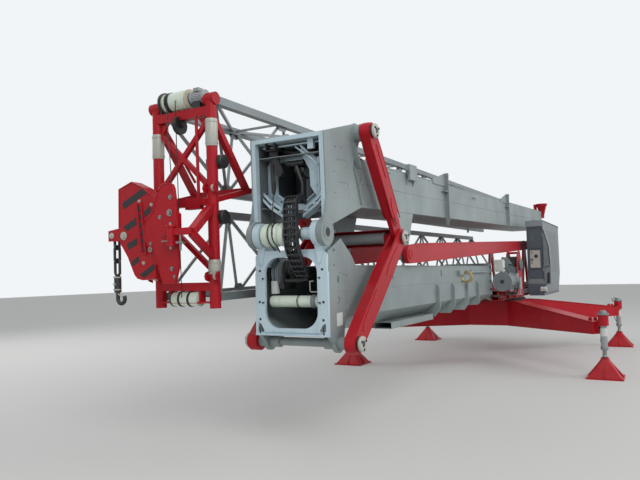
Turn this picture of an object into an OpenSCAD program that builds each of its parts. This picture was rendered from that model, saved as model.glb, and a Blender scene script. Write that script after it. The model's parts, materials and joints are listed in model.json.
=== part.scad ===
// Self-erecting tower crane, folded on its four jacks: box mast in two
// halves, red link arms at the knee, lattice jib folded beside the mast.
// +X points from the slewing axis to the knee, +Y to the control cabinet,
// +Z up. The origin is on the ground on the slewing axis.

/* [Chassis] */
// Half the distance between the jacks
jack_half = 2250; // [2100:10:2500]
// Half width of the chassis centre box
hub_half = 560; // [480:10:640]
// Underside of the chassis
chassis_z = 650; // [600:10:680]
// Top of the chassis centre box
chassis_top = 1140; // [1120:5:1150]
// Width of a chassis arm
arm_w = 240; // [180:10:300]
// Height of a chassis arm at the jack
arm_tip_h = 200; // [160:10:240]
// Plate thickness of chassis and platform
frame_t = 12; // [8:1:20]

/* [Jacks] */
// Radius of the red socket at the arm end
socket_r = 80; // [70:1:95]
// Top of the red socket
socket_top = 1000; // [960:5:1030]
// Outer radius of the jack tube
jack_r = 50; // [42:1:60]
// Underside of the jack tube
jack_z = 450; // [430:5:500]
// Radius of the jack rod
rod_r = 32; // [24:1:36]
// Width of a foot pad
pad_w = 540; // [440:10:640]
// Height of a foot pad
pad_h = 300; // [240:10:320]
// Thickness of the foot pad's base plate
pad_t = 25; // [16:1:40]

/* [Mast] */
// Outer width of the mast box
mast_w = 800; // [760:10:840]
// Wall thickness of the mast box
mast_t = 6; // [5:1:12]
// Height of the mast's flat side
side_h = 500; // [460:10:540]
// Width of the lower mast's bottom chamfer
chamfer = 220; // [160:10:260]
// Height of the lower mast's bottom chamfer
chamfer_h = 150; // [110:5:170]
// Underside of the lower mast
low_z = 1190; // [1180:5:1200]
// Width of the mouth in the lower mast's end plate
mouth_w = 580; // [520:10:600]
// Front face of the folded mast, from the slewing axis
knee_face = 8147; // [8130:1:8160]
// Rear end of the lower mast box
low_rear = 1950; // [1900:10:2050]
// Knee hinge, from the slewing axis
knee_x = 8150; // [8140:1:8165]
// Knee hinge, above the ground
knee_z = 2140; // [2120:5:2160]
// Rise of the folded upper mast towards its head
fold_tilt = 1.95; // [1.5:0.05:2.4]
// Underside of the upper mast above the knee hinge
up_z = 265; // [240:5:300]
// Length of the upper mast behind the knee hinge
up_len = 12350; // [11800:50:12600]
// Mast foot hinge, from the slewing axis
foot_x = 1600; // [1550:10:1650]
// Mast foot hinge, above the ground
foot_z = 1290; // [1280:1:1300]

/* [Links] */
// Radius of the knee pin
knee_pin_r = 45; // [38:1:52]
// Radius of the link pins
link_pin_r = 38; // [32:1:42]
// Play between a pin and its bore
pin_play = 0.5; // [0.3:0.1:1]
// Gap under a piece that turns or slides on another
seat_gap = 0.3; // [0.2:0.1:0.5]
// Clearance between moving plates
side_play = 6; // [5:1:8]
// Thickness of a link across the crane
link_w = 106; // [90:1:110]
// Upper link pin, from the slewing axis
top_pin_x = 7490; // [7460:5:7520]
// Upper link pin, above the ground
top_pin_z = 3180; // [3160:5:3200]
// Middle link pin, from the slewing axis
mid_pin_x = 6750; // [6720:5:6780]
// Middle link pin, above the ground
mid_pin_z = 2140; // [2120:5:2160]
// Lower link pin, from the slewing axis
low_pin_x = 7930; // [7910:5:7950]
// Lower link pin, above the ground
low_pin_z = 1105; // [1095:5:1115]
// Front pin of the long arm, from the slewing axis
tie_x = 6190; // [6170:5:6210]
// Front pin of the long arm, above the ground
tie_z = 1970; // [1965:5:1980]
// Rear pin of the long arm, from the slewing axis
anchor_x = -1550; // [-1600:10:-1450]
// Thickness of the long arm across the crane
tie_w = 60; // [50:1:62]
// Depth of the long arm
tie_h = 210; // [180:5:220]

/* [Platform] */
// Rear end of the slewing platform
plat_rear = -2900; // [-3100:50:-2700]
// Half width of the slewing platform
plat_half = 500; // [440:10:520]
// Radius of the slewing ring
ring_r = 620; // [560:10:680]
// Height of the slewing ring
ring_h = 60; // [50:5:70]
// Depth of the platform's frame
plat_h = 180; // [150:10:190]
// Length of the control cabinet
cab_len = 2400; // [2000:50:2400]
// Width of the control cabinet
cab_w = 330; // [280:10:360]
// Top of the control cabinet
cab_top = 2790; // [2700:10:2850]
// Radius of the hoist motor
motor_r = 170; // [140:5:185]
// Length of the hoist motor
motor_len = 540; // [440:10:600]

/* [Jib] */
// Front end of the folded jib, from the slewing axis
jib_x = 8400; // [8350:10:8450]
// Top chords at the front, above the ground
jib_z = 3500; // [3460:10:3540]
// Rise of the folded jib towards the mast head
jib_tilt = 1; // [0.8:0.1:1.2]
// Near chords of the jib, beside the mast
jib_near = 720; // [715:1:740]
// Distance between the two outer chords
jib_w = 700; // [640:10:740]
// Distance between the apex chords of the two jib sections
apex_gap = 240; // [200:10:300]
// Height of the folded package
pack_h = 1940; // [1900:10:1980]
// Length of the inner jib section
inner_len = 12600; // [12000:50:12800]
// Number of lattice bays in the inner section
inner_bays = 10; // [8:1:12]
// Length of the outer jib section
outer_len = 11400; // [10800:50:11800]
// Number of lattice bays in the outer section
outer_bays = 9; // [7:1:11]
// Width of a jib chord
chord_w = 80; // [60:2:90]
// Wall thickness of a jib chord
chord_t = 4; // [3:0.5:6]
// Width of a lattice bar
lace_w = 30; // [26:1:40]
// Radius of the end frame's posts
post_r = 55; // [45:1:60]
// Wall thickness of the end frame's posts
post_t = 8; // [5:1:12]

/* [Hook block] */
// Distance of the hook block from the jib's near side
block_side = 290; // [270:5:310]
// Thickness of the striped housing
block_t = 130; // [120:5:150]
// Radius of the chain's wire
chain_r = 14; // [12:1:15]

/* [Hidden] */
$fn = 48;

mast_half = mast_w / 2;
side_z = low_z + chamfer_h;
low_top = side_z + side_h;
ring_z = chassis_top;
plat_z = ring_z + ring_h + seat_gap;
plat_top = plat_z + plat_h;
jacks = [[1, 1], [1, -1], [-1, 1], [-1, -1]];
diag = jack_half * sqrt(2);

// Point of the world's XZ plane in the folded upper mast's own frame
function to_upper(x, z) = [
    (x - knee_x) * cos(fold_tilt) - (z - knee_z) * sin(fold_tilt),
    (x - knee_x) * sin(fold_tilt) + (z - knee_z) * cos(fold_tilt)
];
// Point of the world's XZ plane in the folded jib's own frame
function to_jib(x, z) = [
    (x - jib_x) * cos(jib_tilt) - (z - jib_z) * sin(jib_tilt),
    (x - jib_x) * sin(jib_tilt) + (z - jib_z) * cos(jib_tilt)
];

// The long arm's rear pin lies where the arm closes with the mast folded
// and with the mast standing straight
unfold = 180 - fold_tilt;
function turned(dx, dz, a) = [dx * cos(a) - dz * sin(a), dx * sin(a) + dz * cos(a)];
knee_up = [foot_x, foot_z] + turned(knee_x - foot_x, knee_z - foot_z, 90);
tie_up = knee_up + turned(tie_x - knee_x, tie_z - knee_z, 90 - unfold);
tie_half = ([tie_x, tie_z] + tie_up) / 2;
anchor_z = tie_half[1] - (anchor_x - tie_half[0]) * (tie_up[0] - tie_x) / (tie_up[1] - tie_z);
tie_len = norm([tie_x - anchor_x, tie_z - anchor_z]);
tie_angle = atan2(tie_z - anchor_z, tie_x - anchor_x);

// Layers across the crane, from the mast's side outwards
wall_out = mast_half;
plate_out = wall_out + 14;
tie_in = plate_out + side_play;
tie_out = tie_in + tie_w;
link_in = tie_out + side_play + 4;
link_out = link_in + link_w;
collar_t = 45;

module in_upper() {
    translate([knee_x, 0, knee_z]) rotate([0, fold_tilt, 0]) children();
}

module in_jib() {
    translate([jib_x, 0, jib_z]) rotate([0, jib_tilt, 0]) children();
}

// Plate in the XZ plane between two places across the crane
module plate_xz(y0, y1) {
    translate([0, y1, 0]) rotate([90, 0, 0]) linear_extrude(y1 - y0) children();
}

// Plate in the YZ plane between two places along the crane
module plate_yz(x0, x1) {
    translate([x0, 0, 0]) rotate([90, 0, 90]) linear_extrude(x1 - x0) children();
}

module round_y(x, z, y0, y1, r) {
    translate([x, y1, z]) rotate([90, 0, 0]) cylinder(h = y1 - y0, r = r);
}

module round_x(y, z, x0, x1, r) {
    translate([x0, y, z]) rotate([0, 90, 0]) cylinder(h = x1 - x0, r = r);
}

// Square bar between two points
module bar(p, q, w) {
    v = q - p;
    len = norm(v);
    translate(p) rotate([0, acos(v[2] / len), atan2(v[1], v[0])])
        translate([-w / 2, -w / 2, 0]) cube([w, w, len]);
}

module both_sides() {
    children();
    mirror([0, 1, 0]) children();
}

module rounded_rect(w, h, r) {
    union() {
        translate([-w / 2 + r, -h / 2]) square([w - 2 * r, h]);
        translate([-w / 2, -h / 2 + r]) square([w, h - 2 * r]);
        for (sx = [-1, 1], sz = [-1, 1])
            translate([sx * (w / 2 - r), sz * (h / 2 - r)]) circle(r);
    }
}

// Chassis

module hub_outline(half) {
    cut = half * 0.3;
    polygon([[half, -half + cut], [half, half - cut], [half - cut, half], [-half + cut, half],
        [-half, half - cut], [-half, -half + cut], [-half + cut, -half], [half - cut, -half]]);
}

module chassis_hub() {
    color("firebrick") difference() {
        translate([0, 0, chassis_z]) linear_extrude(chassis_top - chassis_z) hub_outline(hub_half);
        translate([0, 0, chassis_z - 1]) linear_extrude(chassis_top - chassis_z - frame_t + 1)
            hub_outline(hub_half - frame_t);
        translate([0, 0, chassis_z - 1]) cylinder(h = chassis_top - chassis_z + 2, r = ring_r * 0.5);
    }
}

arm_end = diag - socket_r - 15;
tip_z = chassis_top - 450;

module arm_profile(inset) {
    root = hub_half * (2 - 0.3) / sqrt(2);
    polygon([[root, chassis_z + inset], [arm_end - inset, tip_z + inset],
        [arm_end - inset, tip_z + arm_tip_h - inset],
        [root + 330, chassis_top - 10 - inset], [root, chassis_top - inset]]);
}

module chassis_arm(corner) {
    sleeve_z = tip_z + 140;
    rotate([0, 0, atan2(corner[1], corner[0])]) difference() {
        union() {
            plate_xz(-arm_w / 2, arm_w / 2) arm_profile(0);
            translate([diag, 0, sleeve_z]) cylinder(h = socket_top - sleeve_z, r = socket_r);
            for (y = [-socket_r + 6, socket_r - 30]) plate_xz(y, y + 24)
                polygon([[arm_end - 1, tip_z + 20], [diag - 10, sleeve_z + 20], [diag - 10, sleeve_z + 110],
                    [arm_end - 1, tip_z + arm_tip_h - 10]]);
        }
        plate_xz(-arm_w / 2 + frame_t, arm_w / 2 - frame_t) arm_profile(frame_t);
        translate([diag, 0, 0]) cylinder(h = socket_top + 10, r = jack_r + 0.2);
    }
}

module chassis_arms() {
    color("firebrick") for (c = jacks) chassis_arm(c);
}

module jack_tubes() {
    color("silver") for (c = jacks) translate([c[0] * jack_half, c[1] * jack_half, 0]) difference() {
        translate([0, 0, jack_z]) cylinder(h = socket_top + 60 - jack_z, r = jack_r);
        translate([0, 0, jack_z - 1]) cylinder(h = socket_top + 30 - jack_z, r = rod_r + pin_play);
    }
}

module slewing_ring() {
    color("dimgray") translate([0, 0, ring_z]) difference() {
        cylinder(h = ring_h, r = ring_r, $fn = 96);
        translate([0, 0, -1]) cylinder(h = ring_h + 2, r = ring_r * 0.8, $fn = 96);
    }
}

module jack_rod(c) {
    color("lightgray") translate([c[0] * jack_half, c[1] * jack_half, 0]) union() {
        translate([0, 0, pad_h + 40]) cylinder(h = socket_top - 120 - pad_h, r = rod_r);
        translate([0, 0, pad_h + 36]) sphere(r = rod_r * 1.25);
    }
}

module foot_pad(c) {
    head_r = rod_r * 1.9;
    color("firebrick") translate([c[0] * jack_half, c[1] * jack_half, 0]) difference() {
        union() {
            translate([-pad_w / 2, -pad_w / 2, 0]) cube([pad_w, pad_w, pad_t]);
            for (a = [0, 90]) rotate([0, 0, a]) plate_xz(-8, 8)
                polygon([[-pad_w / 2 + 15, pad_t], [pad_w / 2 - 15, pad_t], [pad_w / 2 - 15, pad_t + 20],
                    [head_r, pad_h - 10], [-head_r, pad_h - 10], [-pad_w / 2 + 15, pad_t + 20]]);
            hull() {
                translate([-pad_w / 2 + 30, -pad_w / 2 + 30, pad_t]) cube([pad_w - 60, pad_w - 60, 1]);
                translate([0, 0, pad_h - 20]) cylinder(h = 20, r = head_r, $fn = 24);
            }
            translate([0, 0, pad_t]) cylinder(h = pad_h + 10 - pad_t, r = head_r);
        }
        translate([0, 0, pad_h + 36]) sphere(r = rod_r * 1.25 + 0.3);
    }
}

// Slewing platform

rail_in = 360;

module platform_frame() {
    front = foot_x + 130;
    clear = 2 * rail_in;
    slab = ring_r + 120;
    cross = 120;
    color("firebrick") difference() {
        union() {
            translate([plat_rear, -plat_half, plat_z]) cube([front - plat_rear, 2 * plat_half, plat_h]);
            // Shelf under the motor
            translate([low_rear - 590, plat_half - 1, plat_top - 80]) cube([500, 241, 80]);
        }
        // Open bays between the cross beams
        translate([plat_rear + cross, -rail_in, plat_z - 1])
            cube([anchor_x - 100 - plat_rear - cross, clear, plat_h + 2]);
        translate([anchor_x + 100, -rail_in, plat_z - 1]) cube([-slab - anchor_x - 100, clear, plat_h + 2]);
        translate([slab, -rail_in, plat_z - 1]) cube([foot_x - 300 - slab, clear, plat_h + 2]);
        translate([foot_x - 180, -rail_in, plat_z - 1]) cube([front - foot_x + 190, clear, plat_h + 2]);
        // Hollow rails and centre
        for (y = [-plat_half + frame_t, rail_in + frame_t]) translate([plat_rear - 1, y, plat_z + frame_t])
            cube([front - plat_rear + 2, plat_half - rail_in - 2 * frame_t, plat_h - 2 * frame_t]);
        translate([-slab + frame_t, -rail_in - 1, plat_z + frame_t])
            cube([2 * (slab - frame_t), clear + 2, plat_h - 2 * frame_t]);
        translate([0, 0, plat_z - 1]) cylinder(h = plat_h + 2, r = ring_r * 0.4);
        // Shelf as an open angle
        translate([low_rear - 591, plat_half, plat_top - 81]) cube([502, 241, 68]);
        // Bores of the foot pins
        both_sides() round_y(foot_x, foot_z, rail_in - 5, plat_half + 5, knee_pin_r + 0.2);
    }
}

module arm_posts() {
    color("firebrick") both_sides() union() {
        difference() {
            plate_xz(rail_in, mast_half) union() {
                polygon([[anchor_x - 400, plat_top], [anchor_x + 400, plat_top],
                    [anchor_x + 110, anchor_z], [anchor_x - 110, anchor_z]]);
                translate([anchor_x, anchor_z]) circle(110);
            }
            plate_xz(rail_in - 5, mast_half + 5)
                polygon([[anchor_x - 210, plat_top + 100], [anchor_x + 210, plat_top + 100],
                    [anchor_x + 50, anchor_z - 260], [anchor_x - 50, anchor_z - 260]]);
        }
        round_y(anchor_x, anchor_z, mast_half - 1, tie_in - side_play, 90);
        round_y(anchor_x, anchor_z, tie_in - side_play - 1, tie_out + side_play + 1, link_pin_r);
        round_y(anchor_x, anchor_z, tie_out + side_play, tie_out + side_play + 24, 68);
    }
}

lug_in = 300;
lug_out = 350;

module foot_pins() {
    color("gray") both_sides() union() {
        round_y(foot_x, foot_z, lug_in - 5, plat_half + 1, knee_pin_r);
        round_y(foot_x, foot_z, plat_half, plat_half + 25, knee_pin_r * 1.6);
    }
}

motor_y = plat_half + 110;
motor_z = plat_top + motor_r;

module hoist_motor() {
    front = low_rear - 30;
    fins = 16;
    color("silver") union() {
        round_x(motor_y, motor_z, front - motor_len, front - 40, motor_r - 18);
        round_x(motor_y, motor_z, front - 90, front, motor_r);
        round_x(motor_y, motor_z, front - motor_len, front - motor_len + 60, motor_r);
        for (i = [0 : fins - 1]) translate([front - motor_len + 59, motor_y, motor_z])
            rotate([i * 360 / fins, 0, 0]) translate([0, -3, motor_r - 24]) cube([motor_len - 148, 6, 20]);
        translate([front - motor_len + 70, motor_y - 108, plat_top]) cube([motor_len - 180, 216, 40]);
    }
}

module junction_box() {
    front = low_rear - 50;
    box_z = motor_z + motor_r + 16;
    color("lightgray") difference() {
        union() {
            translate([front - 180, motor_y - 135, box_z]) cube([180, 150, 200]);
            translate([front - 170, motor_y - 125, box_z + 199]) cube([160, 130, 13]);
            translate([front - 120, motor_y - 60, motor_z]) cube([90, 70, box_z - motor_z + 1]);
        }
        round_x(motor_y, motor_z, front - 400, front + 100, motor_r + 0.2);
    }
}

cab_y = link_out + 40;
cab_x = -500;
cab_z = plat_z + 60;
door_t = 24;
knuckle_r = 10;
knuckle_h = 50;
knuckle_x = cab_x + 12;
knuckle_y = cab_y + cab_w - 14 - side_play / 2;
knuckle_at = [cab_z + 460, cab_top - 330];

module cabinet_side(inset) {
    polygon([[cab_x - inset, cab_z + inset], [cab_x - inset, cab_top - inset],
        [cab_x - cab_len + 60 + inset * 0.4, cab_top - inset], [cab_x - cab_len + inset, cab_top - 60 - inset * 0.4],
        [cab_x - cab_len + inset, cab_z + 420 + inset * 0.2], [cab_x - cab_len + 300 + inset * 0.5, cab_z + inset]]);
}

module cabinet() {
    wall = 10;
    color("slategray") union() {
        difference() {
            plate_xz(cab_y, cab_y + cab_w) cabinet_side(0);
            plate_xz(cab_y + wall, cab_y + cab_w - wall) cabinet_side(wall);
            translate([cab_x - 20, cab_y + 14, cab_z + 300]) cube([21, cab_w - 28, cab_top - cab_z - 460]);
        }
        translate([cab_x - cab_len + 360, plat_half, cab_z]) cube([cab_len - 420, cab_y - plat_half + 1, 90]);
        // Lower halves of the door's hinges
        for (z = knuckle_at) {
            translate([knuckle_x, knuckle_y, z]) cylinder(h = knuckle_h, r = knuckle_r);
            translate([cab_x - 1, knuckle_y + side_play / 2, z]) cube([12, 10, knuckle_h]);
        }
    }
}

module cabinet_door() {
    door_z = cab_z + 300 + side_play;
    door_h = cab_top - cab_z - 460 - 2 * side_play;
    color("dimgray") union() {
        translate([cab_x - door_t, cab_y + 14 + side_play, door_z])
            cube([door_t, cab_w - 28 - 2 * side_play, door_h]);
        translate([cab_x - 1, cab_y + 60, door_z + 240]) cube([13, cab_w - 120, 330]);
        for (z = knuckle_at) translate([0, 0, z + knuckle_h + seat_gap]) {
            translate([knuckle_x, knuckle_y, 0]) cylinder(h = knuckle_h, r = knuckle_r);
            translate([cab_x - 1, knuckle_y - side_play / 2 - 12, 0]) cube([12, 12, knuckle_h]);
        }
        translate([cab_x + 11, cab_y + 95, door_z + 400]) rotate([0, 90, 0]) cylinder(h = 26, r = 22);
    }
}

// Lower mast

// Folded sheet section, set inwards by a wall
module low_section(inset) {
    half = mast_half - inset;
    turn = atan2(chamfer, chamfer_h);
    edge_z = side_z + inset * tan(turn / 2);
    floor_half = mast_half - chamfer - inset * tan((90 - turn) / 2);
    polygon([[-half, low_top - inset], [-half, edge_z], [-floor_half, low_z + inset],
        [floor_half, low_z + inset], [half, edge_z], [half, low_top - inset]]);
}

plate_t = 30;
box_front = knee_face - plate_t;

// Side plate that rises beside the knee, clear of the upper mast's ear
module cheek() {
    difference() {
        polygon([[knee_x - 610, low_top - 1], [knee_x - 583, low_top + 34], [knee_x - 515, low_top + 104],
            [knee_x - 299, low_top + 254], [box_front - 1, low_top + 130], [box_front - 1, low_top - 1]]);
        translate([knee_x, knee_z]) circle(knee_r + 20);
    }
}

module lower_mast_box() {
    rope_half = 250;
    color("silver") union() {
        difference() {
            plate_yz(low_rear, box_front) low_section(0);
            plate_yz(low_rear - 1, box_front + 1) low_section(mast_t);
            // Slot that lets the ropes and the cable chain in
            translate([box_front - 340, -rope_half, low_top - 60]) cube([341, 2 * rope_half, 100]);
        }
        both_sides() plate_xz(mast_half - 20, mast_half - side_play) cheek();
    }
}

// Flange and lugs at the mast's foot
module mast_foot_frame() {
    color("silver") union() {
        difference() {
            plate_yz(low_rear - 20, low_rear)
                polygon([[-mast_half - 30, low_top + 50], [-mast_half - 30, side_z - 10],
                [-mast_half + chamfer - 10, low_z], [mast_half - chamfer + 10, low_z],
                [mast_half + 30, side_z - 10], [mast_half + 30, low_top + 50]]);
            plate_yz(low_rear - 21, low_rear + 1) low_section(mast_t + 60);
        }
        both_sides() difference() {
            plate_xz(lug_in, lug_out) union() {
                polygon([[foot_x + 30, foot_z - 85], [low_rear - 20, side_z - 90], [low_rear - 20, low_top - 40],
                    [low_rear - 120, low_top - 40],
                    [foot_x + 105, foot_z + 165], [foot_x - 50, foot_z + 75]]);
                translate([foot_x, foot_z]) circle(90);
            }
            round_y(foot_x, foot_z, lug_in - 5, lug_out + 5, knee_pin_r + pin_play);
        }
    }
}

ear_in = 290;
ear_out = 350;
knee_r = 125;
end_low = low_z - 10;

// Half of the end plate's outline, narrower where the knee plates pass
module end_outline() {
    slim = mast_half - side_play;
    polygon([[0, end_low], [mast_half, end_low], [mast_half, low_top - 60], [slim, low_top - 60],
        [slim, low_top + 100], [slim - 54, low_top + 150], [0, low_top + 150]]);
}

module lower_mast_end() {
    mouth_low = low_z + 62;
    mouth_h = low_top + 84 - mouth_low;
    color("gainsboro") union() {
        difference() {
            plate_yz(box_front, knee_face) union() {
                end_outline();
                mirror([1, 0]) end_outline();
            }
            plate_yz(box_front - 1, knee_face + 1) translate([0, mouth_low + mouth_h / 2])
                rounded_rect(mouth_w, mouth_h, 155);
            both_sides() plate_yz(box_front - 1, knee_face + 1) polygon([[mast_half - 28, end_low + 32],
                [mast_half - 28, end_low + 125], [mast_half - 62, end_low + 110],
                [mast_half - 105, end_low + 32]]);
        }
        // Ears of the knee hinge
        both_sides() difference() {
            plate_xz(ear_in, ear_out) union() {
                translate([knee_x, knee_z]) circle(knee_r - 5);
                polygon([[knee_x - knee_r + 5, knee_z], [knee_x - knee_r + 5, knee_z - 60],
                    [knee_x - 330, low_top], [knee_face, low_top], [knee_face, knee_z - 90],
                    [knee_x + 30, knee_z - 98]]);
            }
            round_y(knee_x, knee_z, ear_in - 5, ear_out + 5, knee_pin_r + 0.2);
        }
    }
}

roll_x = knee_face - 137;
roll_z = low_z + 310;

// Knee pin, and the axle of the guide roller
module cross_pins() {
    reach = mast_half - mast_t;
    color("gray") union() {
        round_y(knee_x, knee_z, -plate_out - 4, plate_out + 4, knee_pin_r);
        round_y(roll_x, roll_z, -reach, reach, 20);
        both_sides() round_y(roll_x, roll_z, 300, 330, 44);
    }
}

module lower_link_axle() {
    tube_r = 42;
    sleeve_r = 60;
    hang_x = low_pin_x - 130;
    hang_r = 90;
    color("darkgray") difference() {
        union() {
            round_y(low_pin_x, low_pin_z, -link_in + side_play, link_in - side_play, tube_r);
            round_y(low_pin_x, low_pin_z, -link_out - side_play - 1, link_out + side_play + 1, link_pin_r);
            both_sides() round_y(low_pin_x, low_pin_z, link_out + side_play, link_out + collar_t, 68);
            both_sides() round_y(low_pin_x, low_pin_z, mast_half - 150, link_in - side_play, sleeve_r);
            // Hangers under the mast's chamfer
            both_sides() plate_xz(mast_half - 40, mast_half) union() {
                polygon([[hang_x, side_z], [box_front, side_z], [box_front, end_low],
                    [low_pin_x + hang_r, low_pin_z], [low_pin_x - hang_r, low_pin_z]]);
                translate(low_pin) circle(hang_r);
            }
        }
        plate_yz(hang_x - 50, box_front + 50) low_section(0);
    }
}

// Ribs under the mast, and the cable tray between them
module mast_ribs() {
    rib_t = 24;
    reach = 46;
    tray_x = 5080;
    tray_len = 1480;
    tray_y = mast_half - 260;
    color("silver") both_sides() {
        for (x = [5010, 4300, 3560]) plate_yz(x, x + rib_t)
            polygon([[mast_half, side_z + 250], [mast_half + reach, side_z + 210],
                [mast_half + reach, low_z + 60], [mast_half - 30, low_z - 40], [mast_half - 190, low_z - 40],
                [mast_half - chamfer - 30, low_z], [mast_half - chamfer, low_z], [mast_half, side_z]]);
        plate_yz(2900, 2900 + rib_t) polygon([[mast_half, side_z + 250], [mast_half + reach, side_z + 210],
            [mast_half + reach, low_z + 40], [mast_half + 10, low_z + 5], [mast_half - chamfer, low_z],
            [mast_half, side_z]]);
        difference() {
            translate([tray_x, tray_y, low_z - 75]) cube([tray_len, 220, 75]);
            translate([tray_x - 1, tray_y + 5, low_z - 70]) cube([tray_len + 2, 210, 65]);
        }
    }
}

module mast_roller() {
    color("ivory") difference() {
        round_y(roll_x, roll_z, -290, 290, 56);
        round_y(roll_x, roll_z, -300, 300, 20 + pin_play);
    }
}

module knee_pulley() {
    color("ivory") difference() {
        translate([knee_x, -20, knee_z]) rotate([90, 0, 0]) rotate_extrude()
            polygon([[knee_pin_r + pin_play, 0], [100, 0], [112, 20], [112, 50], [96, 66], [96, 84],
                [112, 100], [112, 140], [96, 156], [96, 174], [112, 190], [112, 230], [100, 250], [60, 262],
                [knee_pin_r + pin_play, 262]]);
    }
}

// Link arms at the knee

module link_outline(p, q, end_r, mid_r) {
    v = q - p;
    len = norm(v);
    n = [-v[1], v[0]] / len;
    u = v / len;
    union() {
        translate(p) circle(end_r);
        translate(q) circle(end_r);
        polygon([p + n * end_r, p + u * len * 0.35 + n * mid_r, p + u * len * 0.7 + n * mid_r, q + n * end_r,
            q - n * end_r, p + u * len * 0.7 - n * mid_r, p + u * len * 0.35 - n * mid_r, p - n * end_r]);
    }
}

top_pin = [top_pin_x, top_pin_z];
mid_pin = [mid_pin_x, mid_pin_z];
low_pin = [low_pin_x, low_pin_z];
link_r = 98;

// Tube and channel that tie the two sides together at the middle pins
module link_tie() {
    tube_r = 60;
    back = 75;
    reach = 95;
    union() {
        round_y(mid_pin_x, mid_pin_z, -link_in - 1, link_in + 1, tube_r);
        plate_xz(-link_in - 1, link_in + 1) translate(mid_pin) polygon([[-back, -reach], [40, -reach],
            [40, -reach + 8], [-back + 8, -reach + 8], [-back + 8, reach - 8], [40, reach - 8], [40, reach],
            [-back, reach]]);
    }
}

// The lower link is a fork at the middle pin
module lower_links() {
    cheek = 22;
    v = low_pin - mid_pin;
    u = v / norm(v);
    n = [-u[1], u[0]];
    wide = link_r + 60;
    color("firebrick") link_tie();
    color("firebrick") both_sides() difference() {
        union() {
            plate_xz(link_in, link_out) link_outline(low_pin, mid_pin, link_r, link_r + 14);
            round_y(mid_pin_x, mid_pin_z, link_out - 1, link_out + collar_t, 68);
        }
        // Pocket that takes the upper link's end
        plate_xz(link_in + cheek, link_out - cheek) union() {
            translate(mid_pin) circle(link_r + 40);
            polygon([mid_pin + n * wide, mid_pin - n * wide, mid_pin - n * wide + u * 330,
                mid_pin + n * wide + u * 330]);
        }
        round_y(low_pin_x, low_pin_z, link_in - 5, link_out + 5, link_pin_r + pin_play);
        // Open inner side of the welded profile
        plate_xz(link_in - 1, link_out - 16)
            link_outline(low_pin - u * 150, mid_pin + u * 380, link_r - 40, link_r - 6);
        round_y(mid_pin_x, mid_pin_z, link_in - 5, link_out - 6, link_pin_r + pin_play);
    }
}

// The upper link's blade sits in the lower link's fork and carries the pin
module upper_links() {
    cheek = 22;
    v = top_pin - mid_pin;
    u = v / norm(v);
    blade_in = link_in + cheek + side_play;
    blade_out = link_out - cheek - side_play;
    color("firebrick") both_sides() difference() {
        union() {
            plate_xz(blade_in, blade_out) link_outline(mid_pin, top_pin, link_r - 4, link_r + 6);
            plate_xz(link_in, link_out) link_outline(mid_pin + u * 350, top_pin, link_r - 8, link_r + 6);
            round_y(top_pin_x, top_pin_z, link_out - 1, link_out + collar_t, 68);
            round_y(mid_pin_x, mid_pin_z, link_in + 2, link_out - 12, link_pin_r);
        }
        plate_xz(link_in - 1, link_out - 16)
            link_outline(top_pin - u * 160, mid_pin + u * 400, link_r - 46, link_r - 20);
        round_y(top_pin_x, top_pin_z, link_out + 10, link_out + collar_t + 5, 26);
    }
}

module long_arms() {
    end_r = 110;
    color("firebrick") both_sides() difference() {
        translate([anchor_x, 0, anchor_z]) rotate([0, -tie_angle, 0]) difference() {
            plate_xz(tie_in, tie_out) union() {
                circle(100);
                translate([tie_len, 0]) circle(end_r);
                polygon([[0, -100], [tie_len - 420, -end_r], [tie_len, -end_r], [tie_len, end_r],
                    [tie_len - 420, tie_h - end_r + 30], [0, tie_h - end_r]]);
            }
            // Open inner side of the pressed profile
            plate_xz(tie_in - 1, tie_out - 10)
                polygon([[180, -88], [tie_len - 420, -end_r + 12], [tie_len - 220, -end_r + 12],
                    [tie_len - 220, end_r - 12], [tie_len - 420, tie_h - end_r + 16], [180, tie_h - end_r - 14]]);
        }
        round_y(anchor_x, anchor_z, tie_in - 5, tie_out + 5, link_pin_r + pin_play);
    }
    color("gainsboro") both_sides() round_y(tie_x, tie_z, tie_out, tie_out + 3, 34);
}

// Upper mast, in its own frame with the knee hinge at the origin

up_front = knee_face - knee_x;
up_top = up_z + side_h;
end_t = 60;
tie_local = to_upper(tie_x, tie_z);
top_local = to_upper(top_pin_x, top_pin_z);

module upper_mast_box() {
    hood_len = 950;
    hood_t = 10;
    color("silver") in_upper() difference() {
        union() {
            difference() {
                translate([-up_len, -mast_half, up_z]) cube([up_len + up_front - end_t, mast_w, side_h]);
                translate([-up_len - 1, -mast_half + mast_t, up_z + mast_t])
                    cube([up_len + up_front, mast_w - 2 * mast_t, side_h - 2 * mast_t]);
            }
            // Hood between the knee plates
            plate_xz(-mast_half, mast_half) polygon([[up_front - end_t, end_top - 40 - hood_t],
                [up_front - end_t, end_top - 40], [-hood_len, up_top - 1], [-hood_len, up_top - 1 - hood_t]]);
            // Lugs that take the long arms
            both_sides() plate_xz(mast_half - 20, mast_half) union() {
                translate(tie_local) circle(105);
                polygon([[tie_local[0] + 100, tie_local[1]], [tie_local[0] + 280, up_z + 1],
                    [tie_local[0] - 360, up_z + 1], [tie_local[0] - 100, tie_local[1]]]);
                translate([tie_local[0] - 360, up_z - 1]) square([640, 60]);
            }
        }
        // The floor stops short of the knee
        translate([up_front - end_t - 420, -300, up_z - 50]) cube([500, 600, 120]);
    }
}

end_top = to_upper(knee_face, top_pin_z - 100)[1];

module upper_mast_end() {
    strip = mast_half - ear_out - 7;
    low = knee_r + 12;
    color("gainsboro") in_upper() plate_yz(up_front - end_t, up_front) difference() {
        polygon([[-mast_half, low], [mast_half, low], [mast_half, end_top], [-mast_half, end_top]]);
        polygon([[-mast_half + strip, low - 1], [mast_half - strip, low - 1],
            [mast_half - strip, end_top - 40], [-mast_half + strip, end_top - 40]]);
    }
}

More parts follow.
